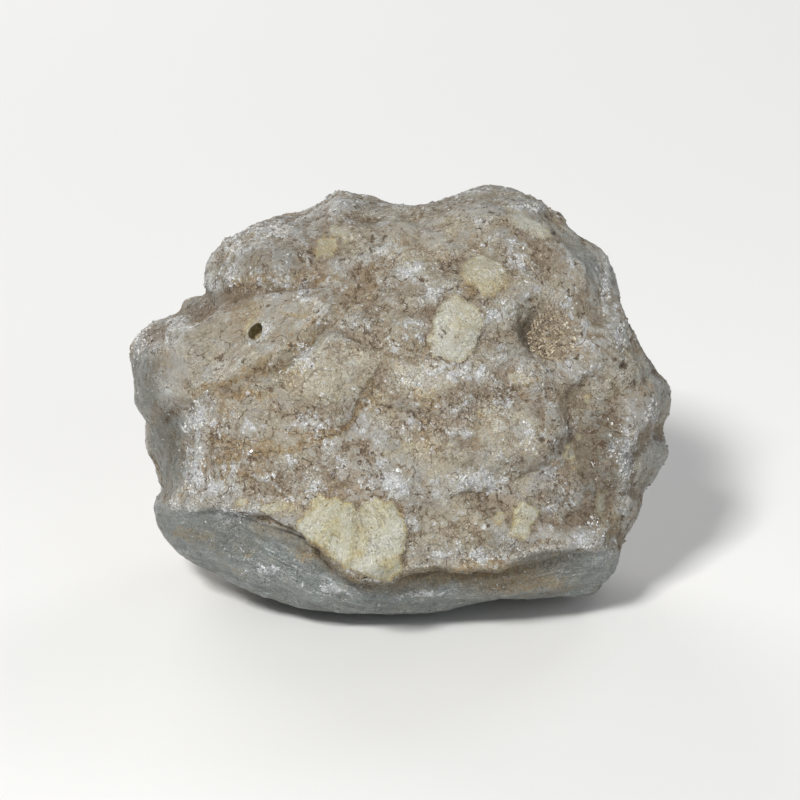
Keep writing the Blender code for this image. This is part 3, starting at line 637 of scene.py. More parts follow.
def fans(seen, places, near_front):
    """The lie of the fibres: (across them, along them, how marked they are)."""
    bend = clouds(places, 34.0, 5.0)
    across, along, weight = bundles(places)
    zones = []
    x, y = seen[:, 0] - SLAB_FOCUS[0], seen[:, 1] - SLAB_FOCUS[1]
    on_slab = smooth_step(-1.5, 1.5, depth_inside(seen, FIBROUS_SLAB))
    zones.append((on_slab, np.arctan2(-y, -x) * SLAB_FAN_RADIUS, np.hypot(x, y)))
    x, y = seen[:, 0] - POCKET_FOCUS[0], seen[:, 1] - POCKET_FOCUS[1]
    away = np.hypot(x, y)
    on_plates = 0.85 * smooth_step(5.0, 9.0, away) * (1.0 - smooth_step(20.0, 27.0, away))
    on_plates *= smooth_step(-0.35, 0.25, x / (away + 1.0))
    zones.append((on_plates, np.arctan2(y, x) * POCKET_FAN_RADIUS, away))
    x, y = seen[:, 0] - SHELL_FOCUS[0], seen[:, 1] - SHELL_FOCUS[1]
    on_shell = smooth_step(-0.5, 1.0, depth_inside(seen, CHALK_SHELL))
    zones.append((0.8 * on_shell, np.arctan2(x, -y) * SHELL_FAN_RADIUS, np.hypot(x, y)))
    on_band = smooth_step(0.6, 3.0, below_crust(seen))
    level = np.polyval(BAND_LIE, seen[:, 0]) - seen[:, 1] + 2.5 * bend
    zones.append((on_band, level, seen[:, 0]))
    for zone_weight, zone_across, zone_along in zones:
        zone_weight = zone_weight * near_front
        chosen = zone_weight > weight
        across = np.where(chosen, zone_across, across)
        along = np.where(chosen, zone_along, along)
        weight = np.where(chosen, zone_weight, weight)
    return np.column_stack((across, along, weight))


def fibre_relief(flow):
    """Fine ridges along the fibres."""
    ridges = np.zeros(len(flow))
    for height, width, length in FIBRE_RIDGES:
        spots = flow * (1.0 / width, 1.0 / length, 0.0)
        ridges += height * np.array([noise.noise(Vector(spot)) for spot in spots])
    return flow[:, 2] ** 1.5 * ridges


def layered(seen, places):
    """The low broken steps of the band, one layer over the next."""
    level = (np.polyval(BAND_LIE, seen[:, 0]) - seen[:, 1] + 1.6 * clouds(places, 12.0, 75.0, 2)) / 3.1
    share = level - np.floor(level)
    come_and_go = unit(0.35 + 1.5 * clouds(places, 9.0, 76.0, 2))
    return 0.42 * come_and_go * (smooth_step(0.0, 0.78, share) - smooth_step(0.80, 0.98, share) - 0.4)


def sculpt_stone(stone):
    """Works the fine relief into the blank."""
    mesh = stone.data
    points = mesh_points(mesh)
    outward = mesh_normals(mesh)
    places = on_face(points)
    seen_plain = as_seen(places)
    seen = as_seen(wandered(places))
    near_front = near_front_of(places)
    on_band = smooth_step(0.0, 3.0, below_crust(seen)) * near_front
    on_band *= 1.0 - 0.7 * smooth_step(34.0, 46.0, seen_plain[:, 0])
    on_slab = smooth_step(-1.0, 1.0, depth_inside(seen, FIBROUS_SLAB)) * near_front
    chalk = np.full(len(points), -9.0)
    rise = crisp_forms(seen, near_front)
    nudged = nudged_places(places, seen_plain)
    for height, _, _, outline in CHALK_PATCHES:
        inward = depth_inside(nudged, outline)
        chalk = np.maximum(chalk, inward)
        rise += height * smooth_step(-0.35, 0.45, inward) * near_front
    chips = in_spots(nudged, CHALK_CHIPS)
    rise += 0.35 * smooth_step(0.45, 0.62, chips) * near_front
    on_chalk = smooth_step(-0.3, 0.5, chalk) * near_front
    sugar = unit(in_spots(seen_plain, SUGAR_SPOTS) * 2.0) * near_front
    flow = fans(seen_plain, places, near_front)
    rise += fibre_relief(flow) * (1.0 - 0.7 * on_chalk)
    plain = (1.0 - 0.6 * on_band) * (1.0 - 0.5 * on_slab) * (1.0 - 0.65 * on_chalk)
    rough = np.zeros(len(points))
    for share, size, slant, seed in FACET_GRAINS:
        rough += share * flat_faces(places, size, slant, seed)
    rough += 0.18 * clouds(places, 2.4, 4.0, 3)
    rise += rough * plain
    rise += sugar * (0.22 * np.abs(clouds(places, 1.9, 7.0)) + 0.34 * flat_faces(places, 2.3, 0.3, 5.0))
    rise += layered(seen_plain, places) * on_band
    flakes = clouds(places, 1.5, 78.0, 2)
    rise += 0.18 * on_chalk * (smooth_step(-0.05, 0.10, flakes) - 0.6)
    for across, up, radius, depth in SMALL_PITS:
        rise -= depth * bell(away_from(seen_plain, (across, up)), radius) * near_front
    broken = unit(0.5 + 1.8 * clouds(places, 1.8, 72.0, 2)) * near_front
    for marked, half_width, line in CRACKS:
        rise -= 0.35 * marked * broken * ridge_along(nudged, half_width * 1.8, line)
    points = points + outward * (rise * MM)[:, None]
    low, high = np.array(cad_box)
    points = np.clip(points, low, high)
    points[:, 2] = np.where(points[:, 2] < FLAT_REACH * MM, 0.0, points[:, 2])
    set_points(mesh, points)
    return flow


def cut_pit(stone):
    """Bores the oval pit on the left of the face."""
    shown = (VIEW_DISTANCE - PIT_OUT) / VIEW_DISTANCE
    start = Vector(from_face(np.array([[PIT_PLACE[0] * shown, PIT_PLACE[1] * shown, 90.0]]))[0])
    into = -Vector(FACE_AXES[2])
    _, spot, _, _ = stone.ray_cast(start, into)
    pick_none()
    bpy.ops.mesh.primitive_cylinder_add(vertices=20, radius=0.5 * PIT_WIDTH * MM, depth=2.0 * PIT_DEPTH * MM)
    borer = bpy.context.object
    bpy.ops.object.mode_set(mode="EDIT")
    bpy.ops.mesh.select_all(action="SELECT")
    bpy.ops.mesh.subdivide(number_cuts=2)
    bpy.ops.object.mode_set(mode="OBJECT")
    points = mesh_points(borer.data) / MM
    height = points[:, 2] / PIT_DEPTH
    points[:, 0] *= PIT_LENGTH / PIT_WIDTH
    points[:, 1] *= 1.0 - 0.24 * points[:, 0] / PIT_LENGTH * 2.0
    flare = 1.0 + 0.16 * np.clip(height, -1.0, 1.0)
    points[:, :2] *= flare[:, None]
    points[:, :2] *= (1.0 + 0.10 * clouds(points, 2.6, 9.0))[:, None]
    set_points(borer.data, points * MM)
    lie = (-into).to_track_quat("Z", "Y").to_matrix().to_4x4()
    borer.matrix_world = Matrix.Translation(spot) @ lie @ Matrix.Rotation(math.radians(PIT_TURN), 4, "Z")
    cut = stone.modifiers.new("pit", "BOOLEAN")
    cut.object = borer
    cut.operation = "DIFFERENCE"
    cut.solver = "EXACT"
    finish_modifier(stone, cut)
    bpy.data.objects.remove(borer)
    return np.array(spot)


def finish_fields(mesh, pit_spot):
    """Where each finish lies, as values for the materials: a half is the edge of a patch. The hollow field,
    the darker places and the stain under the crust also carry painted shade.
    """
    points = mesh_points(mesh)
    normals = mesh_normals(mesh)
    ends = mesh_edges(mesh)
    places = on_face(points)
    seen = as_seen(places)
    nudged = nudged_places(places, seen)
    loose = seen + shifts(places, 1.6, 5.0, 11.0, 2)
    wander = as_seen(wandered(places))
    near_front = near_front_of(places)
    behind = 1.0 - near_front
    fine = np.einsum("ij,ij->i", points - evened(points, ends, 3), normals) / MM
    wide = np.einsum("ij,ij->i", points - evened(points, ends, 30), normals) / MM
    # The hollow field darkens the colour where the surface is sunk, in hollows and creases: painted shade
    hollow = np.clip(-wide / 0.55, -1.0, 1.5) + 0.5 * np.clip(-fine / 0.10, -1.0, 1.5)
    below = below_crust(wander)
    low_step = bell(below, 2.4) * (1.0 - smooth_step(-42.0, -32.0, seen[:, 0])) * near_front
    fields = {"hollow": unit(0.5 + 0.4 * hollow - 0.5 * low_step)}
    band = unit(0.5 + below / 2.0)
    for grey, outline in GREY_FACES:
        band = np.maximum(band, grey * unit(0.5 + depth_inside(loose, outline) / 3.0))
    band *= near_front
    looser = loose + shifts(places, 2.0, 9.0, 14.0, 3)
    layers = [(unit(0.5 + depth_inside(nudged, outline) / 3.0), share, covers)
              for _, share, covers, outline in CHALK_PATCHES]
    layers += [(unit(0.5 + depth_inside(looser, outline) / 16.0), share, covers)
               for share, covers, outline in PALE_SLABS]
    layers.append((in_spots(nudged, CHALK_CHIPS), 0.35, 0.75))
    chalk = np.zeros(len(points))
    yellow = np.zeros(len(points))
    cover = np.full(len(points), 0.7)
    for field, share, covers in layers:
        yellow = np.where(field > chalk, share, yellow)
        cover = np.where(field > chalk, covers, cover)
        chalk = np.maximum(chalk, field)
    chalk = chalk * near_front
    spread = clouds(places, 24.0, 21.0, 3)
    chalk = np.maximum(chalk, behind * unit(0.5 + 1.6 * (spread - 0.42)))
    yellow = np.where(near_front > 0.5, yellow, 0.3 + 0.3 * clouds(places, 12.0, 22.0))
    fields["chalk"] = chalk
    fields["yellow"] = yellow
    fields["cover"] = cover
    ochre = in_spots(loose, OCHRE_STAINS)
    for half_width, line in OCHRE_LINES:
        ochre = np.maximum(ochre, 1.0 - 0.5 * from_line(nudged, line) / half_width)
    ochre *= near_front
    # The brown band under the crust's edge: partly a stain, partly painted shadow cast by the overhanging
    # crust
    reach = 2.2 + 2.8 * unit(0.5 + clouds(places, 8.0, 32.0, 2))
    reach += 2.0 * smooth_step(-4.0, 10.0, wander[:, 0])
    stain_and_shadow = smooth_step(-0.5, 0.5, below) * (1.0 - smooth_step(0.35 * reach, 1.5 * reach, below))
    fields["stain_and_shadow"] = 0.85 * stain_and_shadow * np.interp(wander[:, 0], *np.array(UNDER_STAIN_AND_SHADOW).T) * near_front
    patchy = 0.22 + 0.45 * clouds(places, 13.0, 31.0, 3) - 0.4 * band
    fields["ochre"] = np.maximum(ochre, np.clip(patchy, 0.0, 0.7))
    # Where the surface bulges, the ridges lighten the sugar field: a painted highlight
    ridges = unit(-hollow)
    sugar = in_spots(loose, SUGAR_SPOTS) * near_front
    sugar = np.maximum(sugar, 0.26 + 0.36 * clouds(places, 7.0, 41.0, 4) + 0.20 * ridges - 0.25 * band)
    smooth = unit(in_spots(loose, GLASS_PLACES) - in_spots(loose, SUGAR_SPOTS))
    smooth = np.maximum(smooth, 0.30 * smooth_step(-1.0, 3.0, depth_inside(loose, FIBROUS_SLAB)))
    fields["sugar"] = unit(sugar - 0.55 * smooth * near_front)
    dust = 0.8 * in_spots(loose, DUST_PLACES) * near_front
    dust = np.maximum(dust, 0.34 + 0.40 * clouds(places, 15.0, 51.0, 4))
    dust = dust + 0.20 * np.clip(hollow, -0.6, 1.0) - 0.4 * band
    fields["dust"] = unit(dust)
    glass = in_spots(loose, GLASS_PLACES) * near_front
    glass = np.maximum(glass, 0.30 + 0.46 * clouds(places, 7.0, 61.0, 4) - 0.2 * unit(hollow))
    fields["glass"] = unit(glass)
    fields["band"] = band
    crack = np.zeros(len(points))
    for marked, half_width, line in CRACKS:
        crack = np.maximum(crack, marked * ridge_along(nudged, 1.6 * half_width, line))
    crack *= 0.35 + 0.65 * unit(0.5 + 1.8 * clouds(places, 1.8, 72.0, 2))
    for across, up, radius, _ in SMALL_PITS:
        crack = np.maximum(crack, bell(away_from(seen, (across, up)), radius))
    crack *= near_front
    in_mouth = away_from(seen, as_seen(on_face(pit_spot[None, :]))[0]) < 0.62 * PIT_LENGTH
    sunk = (pit_spot - points) @ FACE_AXES[2] / MM
    fields["crack"] = unit(crack)
    fields["pit"] = smooth_step(0.5, 1.6, sunk) * in_mouth * near_front
    fields["flow"] = fans(seen + 0.25 * (wander - seen), places, near_front)
    # Darker places: the listed ones are partly the stone's own tone and partly painted shade, and the margins
    # whose surface turns away from the face are darkened as painted shade
    dark_and_shade = np.zeros(len(points))
    for *spot, share in DARK_TONE_AND_SHADE_PLACES:
        dark_and_shade = np.maximum(dark_and_shade, share * (1.0 - smooth_step(0.35, 1.45, in_ellipse(loose, *spot))))
    margin = smooth_step(0.72, 0.95, in_ellipse(seen, 0.0, -2.0, 74.0, 56.0))
    turned_away_shade = margin * (1.0 - smooth_step(0.15, 0.70, normals @ FACE_AXES[2]))
    fields["dark_and_shade"] = np.maximum(dark_and_shade, turned_away_shade) * near_front
    return fields


def set_fields(mesh, fields):
    for name, values in fields.items():
        if values.ndim == 1:
            layer = mesh.attributes.new(name, "FLOAT", "POINT")
            layer.data.foreach_set("value", values.astype(np.float32))
        else:
            layer = mesh.attributes.new(name, "FLOAT_VECTOR", "POINT")
            layer.data.foreach_set("vector", values.astype(np.float32).ravel())


# The grains

def chip(cuts):
    """One quartz grain: a block with corners cut off. Gives its points and its triangles."""
    pick_none()
    bpy.ops.mesh.primitive_cube_add(size=1.0)
    block = bpy.context.object
    bpy.ops.object.mode_set(mode="EDIT")
    for place, way in cuts:
        bpy.ops.mesh.select_all(action="SELECT")
        bpy.ops.mesh.bisect(plane_co=place, plane_no=way, use_fill=True, clear_outer=True)
    bpy.ops.mesh.select_all(action="SELECT")
    bpy.ops.mesh.normals_make_consistent(inside=False)
    bpy.ops.mesh.quads_convert_to_tris()
    bpy.ops.object.mode_set(mode="OBJECT")
    points = mesh_points(block.data)
    corners = np.array([tuple(face.vertices) for face in block.data.polygons])
    bpy.data.objects.remove(block)
    return points - points.mean(axis=0), corners


# Where each grain's corners are cut off: (place, way out)
BLOCKY_CUTS = [((0.28, 0.22, 0.25), (0.9, 0.6, 0.7)), ((-0.3, -0.2, 0.3), (-0.7, -0.5, 0.9))]
POINTED_CUTS = [
    ((0.22, 0.0, 0.2), (1.0, 0.1, 0.6)), ((-0.2, 0.1, 0.2), (-0.9, 0.3, 0.7)),
    ((0.0, -0.22, 0.2), (0.1, -1.0, 0.6)),
]
SPLINTER_CUTS = [((0.2, 0.2, 0.0), (1.0, 0.8, 0.3)), ((-0.1, 0.1, 0.34), (-0.2, -0.3, 1.0))]


def random_turns(maker, normals, tilt):
    """Frames whose third way is the normal, tilted by up to tilt, turned anyhow about it."""
    up = normals + tilt * maker.uniform(-1.0, 1.0, normals.shape)
    up /= np.linalg.norm(up, axis=1)[:, None]
    side = np.cross(up, maker.normal(size=normals.shape))
    side /= np.linalg.norm(side, axis=1)[:, None]
    return np.stack((side, np.cross(up, side), up), axis=1)


def scatter(name, chips, spots, normals, sizes, flat, tilt, sunk, seed):
    """A piece made of copies of the chips, each half sunk in the stone at its spot."""
    maker = np.random.default_rng(seed)
    frames = random_turns(maker, normals, tilt)
    shapes = maker.uniform((0.75, 0.6, 0.7), (1.35, 1.0, 1.2), (len(spots), 3))
    shapes = shapes * sizes[:, None] * (1.0, 1.0, flat)
    kinds = maker.integers(0, len(chips), len(spots))
    points = []
    faces = []
    owners = []
    start = 0
    low, high = np.array(cad_box)
    for kind, (chip_points, corners) in enumerate(chips):
        chosen = np.flatnonzero(kinds == kind)
        local = chip_points[None] * shapes[chosen][:, None]
        placed = np.einsum("nkj,nji->nki", local, frames[chosen])
        middles = spots[chosen] + normals[chosen] * ((0.5 - sunk) * shapes[chosen][:, 2])[:, None] * MM
        placed = np.clip(placed * MM + middles[:, None], low, high)
        points.append(placed.reshape(-1, 3))
        offsets = start + np.arange(len(chosen)) * len(chip_points)
        faces.append((corners[None] + offsets[:, None, None]).reshape(-1, 3))
        owners.append(np.repeat(chosen, len(chip_points)))
        start += len(chosen) * len(chip_points)
    mesh = bpy.data.meshes.new(name)
    mesh.from_pydata(np.concatenate(points).tolist(), [], np.concatenate(faces).tolist())
    mesh.update()
    piece = bpy.data.objects.new(name, mesh)
    bpy.context.scene.collection.objects.link(piece)
    return piece, np.concatenate(owners)


def choose_spots(stone, likely, count, seed):
    """Vertices of the stone, picked by how likely each is to carry a grain."""
    maker = np.random.default_rng(seed)
    areas = np.empty(len(stone.data.polygons), np.float32)
    stone.data.polygons.foreach_get("area", areas)
    share = np.zeros(len(stone.data.vertices))
    for face, area in zip(stone.data.polygons, areas):
        for corner in face.vertices:
            share[corner] += area
    weight = share * likely
    return maker.choice(len(share), size=count, replace=False, p=weight / weight.sum())


def dressed_grains(stone, fields):
    """The loose and half-buried grains of the rind."""
    points = mesh_points(stone.data)
    normals = mesh_normals(stone.data)
    places = on_face(points)
    seen = as_seen(places)
    front = near_front_of(places, GRAINS_FADE)
    off_pit = (away_from(seen, PIT_PLACE) > 0.8 * PIT_LENGTH) | (places[:, 2] <= 0.0)
    clear = (points[:, 2] > 1.6 * MM) & (fields["crack"] < 0.6) & off_pit
    chips = [chip(BLOCKY_CUTS), chip(POINTED_CUTS), chip(SPLINTER_CUTS)]
    bare = unit(1.3 - 1.3 * fields["chalk"])

    def strewn(name, likely, number):
        """A piece of loose grains, which vertices carry them, and the maker of its chances."""
        count, least, largest, flat, tilt, sunk = GRAIN_KINDS[name]
        chosen = choose_spots(stone, likely, count, number)
        maker = np.random.default_rng(10 + number)
        sizes = maker.uniform(least, largest, count)
        piece, owners = scatter(
            name, chips, points[chosen], normals[chosen], sizes, flat, tilt, sunk, 20 + number,
        )
        return piece, chosen, owners, maker

    likely = clear * (0.35 + 0.65 * front) * bare * (1.0 - 0.8 * smooth_step(0.4, 0.7, fields["band"]))
    likely *= 0.25 + smooth_step(0.2, 0.6, fields["sugar"]) + 0.6 * smooth_step(0.45, 0.8, fields["dust"])
    grains, chosen, owners, maker = strewn("rind_grains", likely, 1)
    own = {name: values[chosen][owners] for name, values in fields.items()}
    lighter = maker.uniform(-0.15, 0.2, len(chosen))[owners]
    own["sugar"] = unit(own["sugar"] + lighter)
    set_fields(grains.data, own)

    white = in_spots(seen, SUGAR_SPOTS) * front
    broken = smooth_step(-0.1, 0.25, clouds(places, 2.6, 81.0, 3))
    likely = clear * bare * broken
    likely *= smooth_step(0.3, 0.7, white) + 0.30 * smooth_step(0.4, 0.7, fields["sugar"])
    likely *= 1.0 - smooth_step(0.4, 0.6, fields["band"])
    crystals = strewn("bright_crystals", likely, 2)[0]

    likely = clear * front * unit(1.2 - in_ellipse(seen, *SAND_PLACE)) ** 2
    return grains, crystals, strewn("pocket_sand", likely + LEAST_CHANCE * clear, 3)[0]


# Materials

class Sheet:
    """A material's or a group's sheet of nodes, and short words for adding to it."""

    def __init__(self, tree):
        self.tree = tree

    def add(self, kind, **settings):
        made = self.tree.nodes.new(kind)
        for name, value in settings.items():
            setattr(made, name, value)
        return made

    def feed(self, socket, value):
        if isinstance(value, bpy.types.NodeSocket):
            self.tree.links.new(value, socket)
        else:
            socket.default_value = value

    def sum(self, what, first, second=0.0, third=0.0, clamp=False):
        made = self.add("ShaderNodeMath", operation=what, use_clamp=clamp)
        for socket, value in zip(made.inputs, (first, second, third)):
            self.feed(socket, value)
        return made.outputs[0]

    def chain(self, what, parts, clamp):
        """The parts taken together one after another, and kept from 0 to 1 at the last where clamp is set."""
        total = parts[0]
        for count, part in enumerate(parts[1:], 2):
            total = self.sum(what, total, part, clamp=clamp and count == len(parts))
        return total

    def plus(self, *parts, clamp=False):
        return self.chain("ADD", parts, clamp)

    def times(self, *parts, clamp=False):
        return self.chain("MULTIPLY", parts, clamp)

    def most(self, *parts, clamp=False):
        return self.chain("MAXIMUM", parts, clamp)

    def less(self, value, taken, clamp=False):
        return self.sum("SUBTRACT", value, taken, clamp=clamp)

    def swing(self, value, reach):
        """How far the value is from a half, times reach."""
        return self.times(self.less(value, 0.5), reach)

    def near_half(self, value, far, near, low=0.0, high=1.0):
        """Lines where the value passes a half: low from far off it, and high within near of it."""
        return self.span(self.sum("ABSOLUTE", self.less(value, 0.5)), far, near, low, high)

    def along(self, what, first, second=(0.0, 0.0, 0.0), scale=None):
        made = self.add("ShaderNodeVectorMath", operation=what)
        self.feed(made.inputs[0], first)
        if scale is None:
            self.feed(made.inputs[1], second)
        else:
            self.feed(made.inputs["Scale"], scale)
        return made.outputs["Value"] if what == "DOT_PRODUCT" else made.outputs[0]

    def blend(self, share, first, second):
        made = self.add("ShaderNodeMix", data_type="RGBA", blend_type="MIX", clamp_factor=True)
        for index, value in ((0, share), (6, first), (7, second)):
            self.feed(made.inputs[index], value)
        return made.outputs[2]

    def span(self, value, low, high, new_low=0.0, new_high=1.0):
        made = self.add("ShaderNodeMapRange", interpolation_type="SMOOTHSTEP")
        for socket, part in zip(made.inputs, (value, low, high, new_low, new_high)):
            self.feed(socket, part)
        return made.outputs[0]

    def noise(self, where, scale, detail, rough=0.5):
        made = self.add("ShaderNodeTexNoise")
        for name, value in (("Vector", where), ("Scale", scale), ("Detail", detail), ("Roughness", rough)):
            self.feed(made.inputs[name], value)
        return made.outputs

    def cloud(self, where, scale, detail=3.0, rough=0.55):
        return self.noise(where, scale, detail, rough)["Fac"]

    def strayed(self, where, scale, detail, reach):
        """The places shifted every way, so that what is drawn on them wanders."""
        shift = self.along("SUBTRACT", self.noise(where, scale, detail)["Color"], (0.5, 0.5, 0.5))
        return self.along("ADD", where, self.along("SCALE", shift, scale=reach))

    def cells(self, where, scale, feature="F1"):
        made = self.add("ShaderNodeTexVoronoi", feature=feature)
        self.feed(made.inputs["Vector"], where)
        made.inputs["Scale"].default_value = scale
        return made.outputs

    def parts(self, colour):
        made = self.add("ShaderNodeSeparateColor")
        self.feed(made.inputs[0], colour)
        return made.outputs

    def tones(self, value, *stops):
        """A colour that runs through the stops as the value rises: (value, red, green, blue)."""
        made = self.add("ShaderNodeValToRGB")
        self.feed(made.inputs[0], value)
        knots = made.color_ramp.elements
        while len(knots) < len(stops):
            knots.new(0.5)
        for knot, (place, *colour) in zip(knots, stops):
            knot.position = place
            knot.color = tone(*colour)
        return made.outputs[0]

    def field(self, name, output="Fac"):
        return self.add("ShaderNodeAttribute", attribute_name=name).outputs[output]

    def group(self, tree, **values):
        made = self.add("ShaderNodeGroup", node_tree=tree)
        for name, value in values.items():
            self.feed(made.inputs[name], value)
        return made.outputs

    def relief(self, shader, height, strength=1.0):
        """Bumps the shader's surface by the height in millimetres."""
        bump = self.add("ShaderNodeBump")
        bump.inputs["Strength"].default_value = strength
        bump.inputs["Distance"].default_value = MM
        self.feed(bump.inputs["Height"], height)
        self.feed(shader.inputs["Normal"], bump.outputs[0])


def tone(red, green, blue):
    """A colour as it is seen on a screen, 0 to 255, for a material's socket."""
    values = []
    for part in (red, green, blue):
        part /= 255.0
        values.append(part / 12.92 if part <= 0.04045 else ((part + 0.055) / 1.055) ** 2.4)
    return (*values, 1.0)


def new_group(name, takes, gives):
    """A shader node group, with takes and gives as (name, kind, value)."""
    tree = bpy.data.node_groups.new(name, "ShaderNodeTree")
    for label, kind, value in takes:
        socket = tree.interface.new_socket(label, in_out="INPUT", socket_type=kind)
        if value is not None:
            socket.default_value = value
    for label, kind in gives:
        tree.interface.new_socket(label, in_out="OUTPUT", socket_type=kind)
    sheet = Sheet(tree)
    return sheet, sheet.add("NodeGroupInput").outputs, sheet.add("NodeGroupOutput").inputs


def ragged_edge_group():
    """Turns a patch's soft field into a patch with a ragged edge."""
    sheet, take, give = new_group(
        "ragged_edge",
        [("Where", "NodeSocketVector", None), ("Field", "NodeSocketFloat", 0.0),
         ("Size", "NodeSocketFloat", 1.0), ("Raggedness", "NodeSocketFloat", 0.4),
         ("Softness", "NodeSocketFloat", 0.08)],
        [("Patch", "NodeSocketFloat")],
    )
    cloud = sheet.cloud(sheet.along("SCALE", take["Where"], scale=take["Size"]), 1.0, 3.0, 0.7)
    level = sheet.plus(take["Field"], sheet.swing(cloud, take["Raggedness"]))
    low = sheet.less(0.5, take["Softness"])
    high = sheet.plus(0.5, take["Softness"])
    sheet.feed(give["Patch"], sheet.span(level, low, high))
    return sheet.tree


def sugary_grain_group():
    """Quartz grains that lie every way: their slanted faces, and how light each one is."""
    sheet, take, give = new_group(
        "sugary_grain",
        [("Where", "NodeSocketVector", None), ("Size", "NodeSocketFloat", 1.0)],
        [("Height", "NodeSocketFloat"), ("Lightness", "NodeSocketFloat"), ("Glint", "NodeSocketFloat")],
    )
    where = sheet.along("SCALE", take["Where"], scale=take["Size"])
    grain = sheet.cells(where, 1.0)
    lean = sheet.along("SUBTRACT", grain["Color"], (0.5, 0.5, 0.5))
    offset = sheet.along("SUBTRACT", where, grain["Position"])
    sheet.feed(give["Height"], sheet.along("DOT_PRODUCT", offset, lean))
    parts = sheet.parts(grain["Color"])
    sheet.feed(give["Lightness"], parts[0])
    sheet.feed(give["Glint"], sheet.span(parts[1], 0.90, 0.96))
    return sheet.tree


def new_material(name, ior):
    material = bpy.data.materials.new(name)
    material.use_nodes = True
    sheet = Sheet(material.node_tree)
    shader = material.node_tree.nodes["Principled BSDF"]
    shader.inputs["IOR"].default_value = ior
    place = sheet.add("ShaderNodeTexCoord").outputs["Object"]
    return material, sheet, shader, sheet.along("SCALE", place, scale=1.0 / MM)


